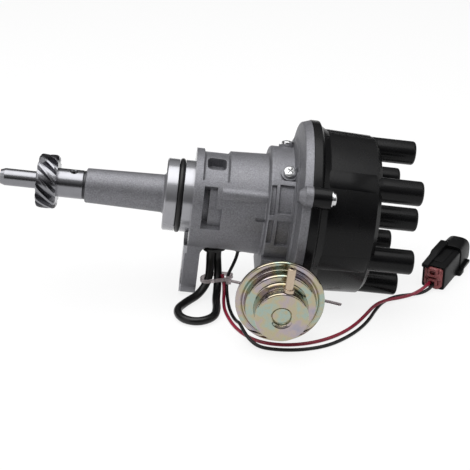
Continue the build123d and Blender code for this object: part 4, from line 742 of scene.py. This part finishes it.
class DISTRIBUTOR_OT_stage(bpy.types.Operator):
    """Sets the table, the lamps, the world and the camera"""
    bl_idname = "distributor.stage"
    bl_label = "Stage"

    def execute(self, context):
        scene = context.scene
        stage = scene.distributor_stage
        scene.view_settings.view_transform = "Standard"

        camera = bpy.data.cameras.new("camera")
        camera.sensor_fit = "HORIZONTAL"
        camera.sensor_width = 36
        camera.lens = stage.focal_length
        camera.clip_end = 50
        holder = bpy.data.objects.new("camera", camera)
        holder.location = stage.camera_place
        holder.rotation_euler = Vector(stage.camera_aim).to_track_quat("-Z", "Y").to_euler()
        scene.collection.objects.link(holder)
        scene.camera = holder

        mesh = bpy.data.meshes.new("table")
        corners = [(x * TABLE_HALF, y * TABLE_HALF, TABLE * MM)
                   for x, y in ((-1, -1), (1, -1), (1, 1), (-1, 1))]
        mesh.from_pydata(corners, [], [(0, 1, 2, 3)])
        table = bpy.data.objects.new("table", mesh)
        scene.collection.objects.link(table)
        # White paper: plain and matt, shown and reflected as white, with the object's shadow kept
        material, tree, shader, _ = new_material("white_table", Roughness=0.9, Specular_IOR_Level=0.0)
        shader.inputs["Base Color"].default_value = linear(stage.floor_colour)
        path = add_node(tree, "ShaderNodeLightPath").outputs
        shown = path["Is Camera Ray"]
        for ray in ("Is Glossy Ray", "Is Transmission Ray"):
            shown = add_node(tree, "ShaderNodeMath", {0: shown, 1: path[ray]}, operation="MAXIMUM").outputs[0]
        share = add_node(tree, "ShaderNodeMath", {0: shown, 1: TABLE_GLOW}, operation="MULTIPLY").outputs[0]
        glow = add_node(tree, "ShaderNodeEmission",
                        {"Color": (1.0, 1.0, 1.0, 1.0), "Strength": 1.0}).outputs[0]
        white = add_node(tree, "ShaderNodeMixShader", {0: share, 1: shader.outputs[0], 2: glow})
        tree.links.new(white.outputs[0], tree.nodes["Material Output"].inputs["Surface"])
        table.data.materials.append(material)

        for name, spot, size, power_share in LAMPS:
            lamp = bpy.data.lights.new(name, "AREA")
            lamp.size = size
            lamp.energy = stage.lamp_power * power_share
            box = bpy.data.objects.new(name, lamp)
            box.location = spot
            box.rotation_euler = (LAMP_AIM - Vector(spot)).to_track_quat("-Z", "Y").to_euler()
            scene.collection.objects.link(box)

        world = bpy.data.worlds.new("studio")
        scene.world = world
        world.use_nodes = True
        tree = world.node_tree
        background = tree.nodes["Background"]
        background.inputs["Color"].default_value = (1.0, 1.0, 1.0, 1.0)
        direction = add_node(tree, "ShaderNodeTexCoord").outputs["Generated"]
        rise = add_node(tree, "ShaderNodeSeparateXYZ", {0: direction}).outputs[2]
        sky = add_node(tree, "ShaderNodeValToRGB", {0: rise})
        set_stops(sky.color_ramp, [(position, (level, level, level, 1.0)) for position, level in SKY])
        tree.links.new(sky.outputs[0], background.inputs["Strength"])
        return {"FINISHED"}


class DISTRIBUTOR_PT_panel(bpy.types.Panel):
    """Lists the pieces in the sidebar"""
    bl_label = "Distributor"
    bl_space_type = "VIEW_3D"
    bl_region_type = "UI"
    bl_category = "Distributor"

    def draw(self, context):
        for operator in OPERATORS:
            self.layout.operator(operator.bl_idname)


OPERATORS = (
    DISTRIBUTOR_OT_materials, DISTRIBUTOR_OT_vacuum_unit, DISTRIBUTOR_OT_screws, DISTRIBUTOR_OT_cap_ribs,
    DISTRIBUTOR_OT_connector, DISTRIBUTOR_OT_harness, DISTRIBUTOR_OT_stage,
)
GROUPS = {
    "distributor_stage": StageProperties,
    "distributor_harness": HarnessProperties,
    "distributor_casting": CastingProperties,
    "distributor_moulding": MouldingProperties,
}


def register():
    """Registers the property groups, the operators and the panel."""
    for name, group in GROUPS.items():
        bpy.utils.register_class(group)
        setattr(bpy.types.Scene, name, bpy.props.PointerProperty(type=group))
    for operator in OPERATORS:
        bpy.utils.register_class(operator)
    bpy.utils.register_class(DISTRIBUTOR_PT_panel)


def unregister():
    """Takes back what register() did."""
    bpy.utils.unregister_class(DISTRIBUTOR_PT_panel)
    for operator in reversed(OPERATORS):
        bpy.utils.unregister_class(operator)
    for name, group in GROUPS.items():
        delattr(bpy.types.Scene, name)
        bpy.utils.unregister_class(group)


def main():
    """Makes every piece and the stage."""
    register()
    for operator in OPERATORS:
        group, name = operator.bl_idname.split(".")
        getattr(getattr(bpy.ops, group), name)()


if __name__ == "__main__":
    main()
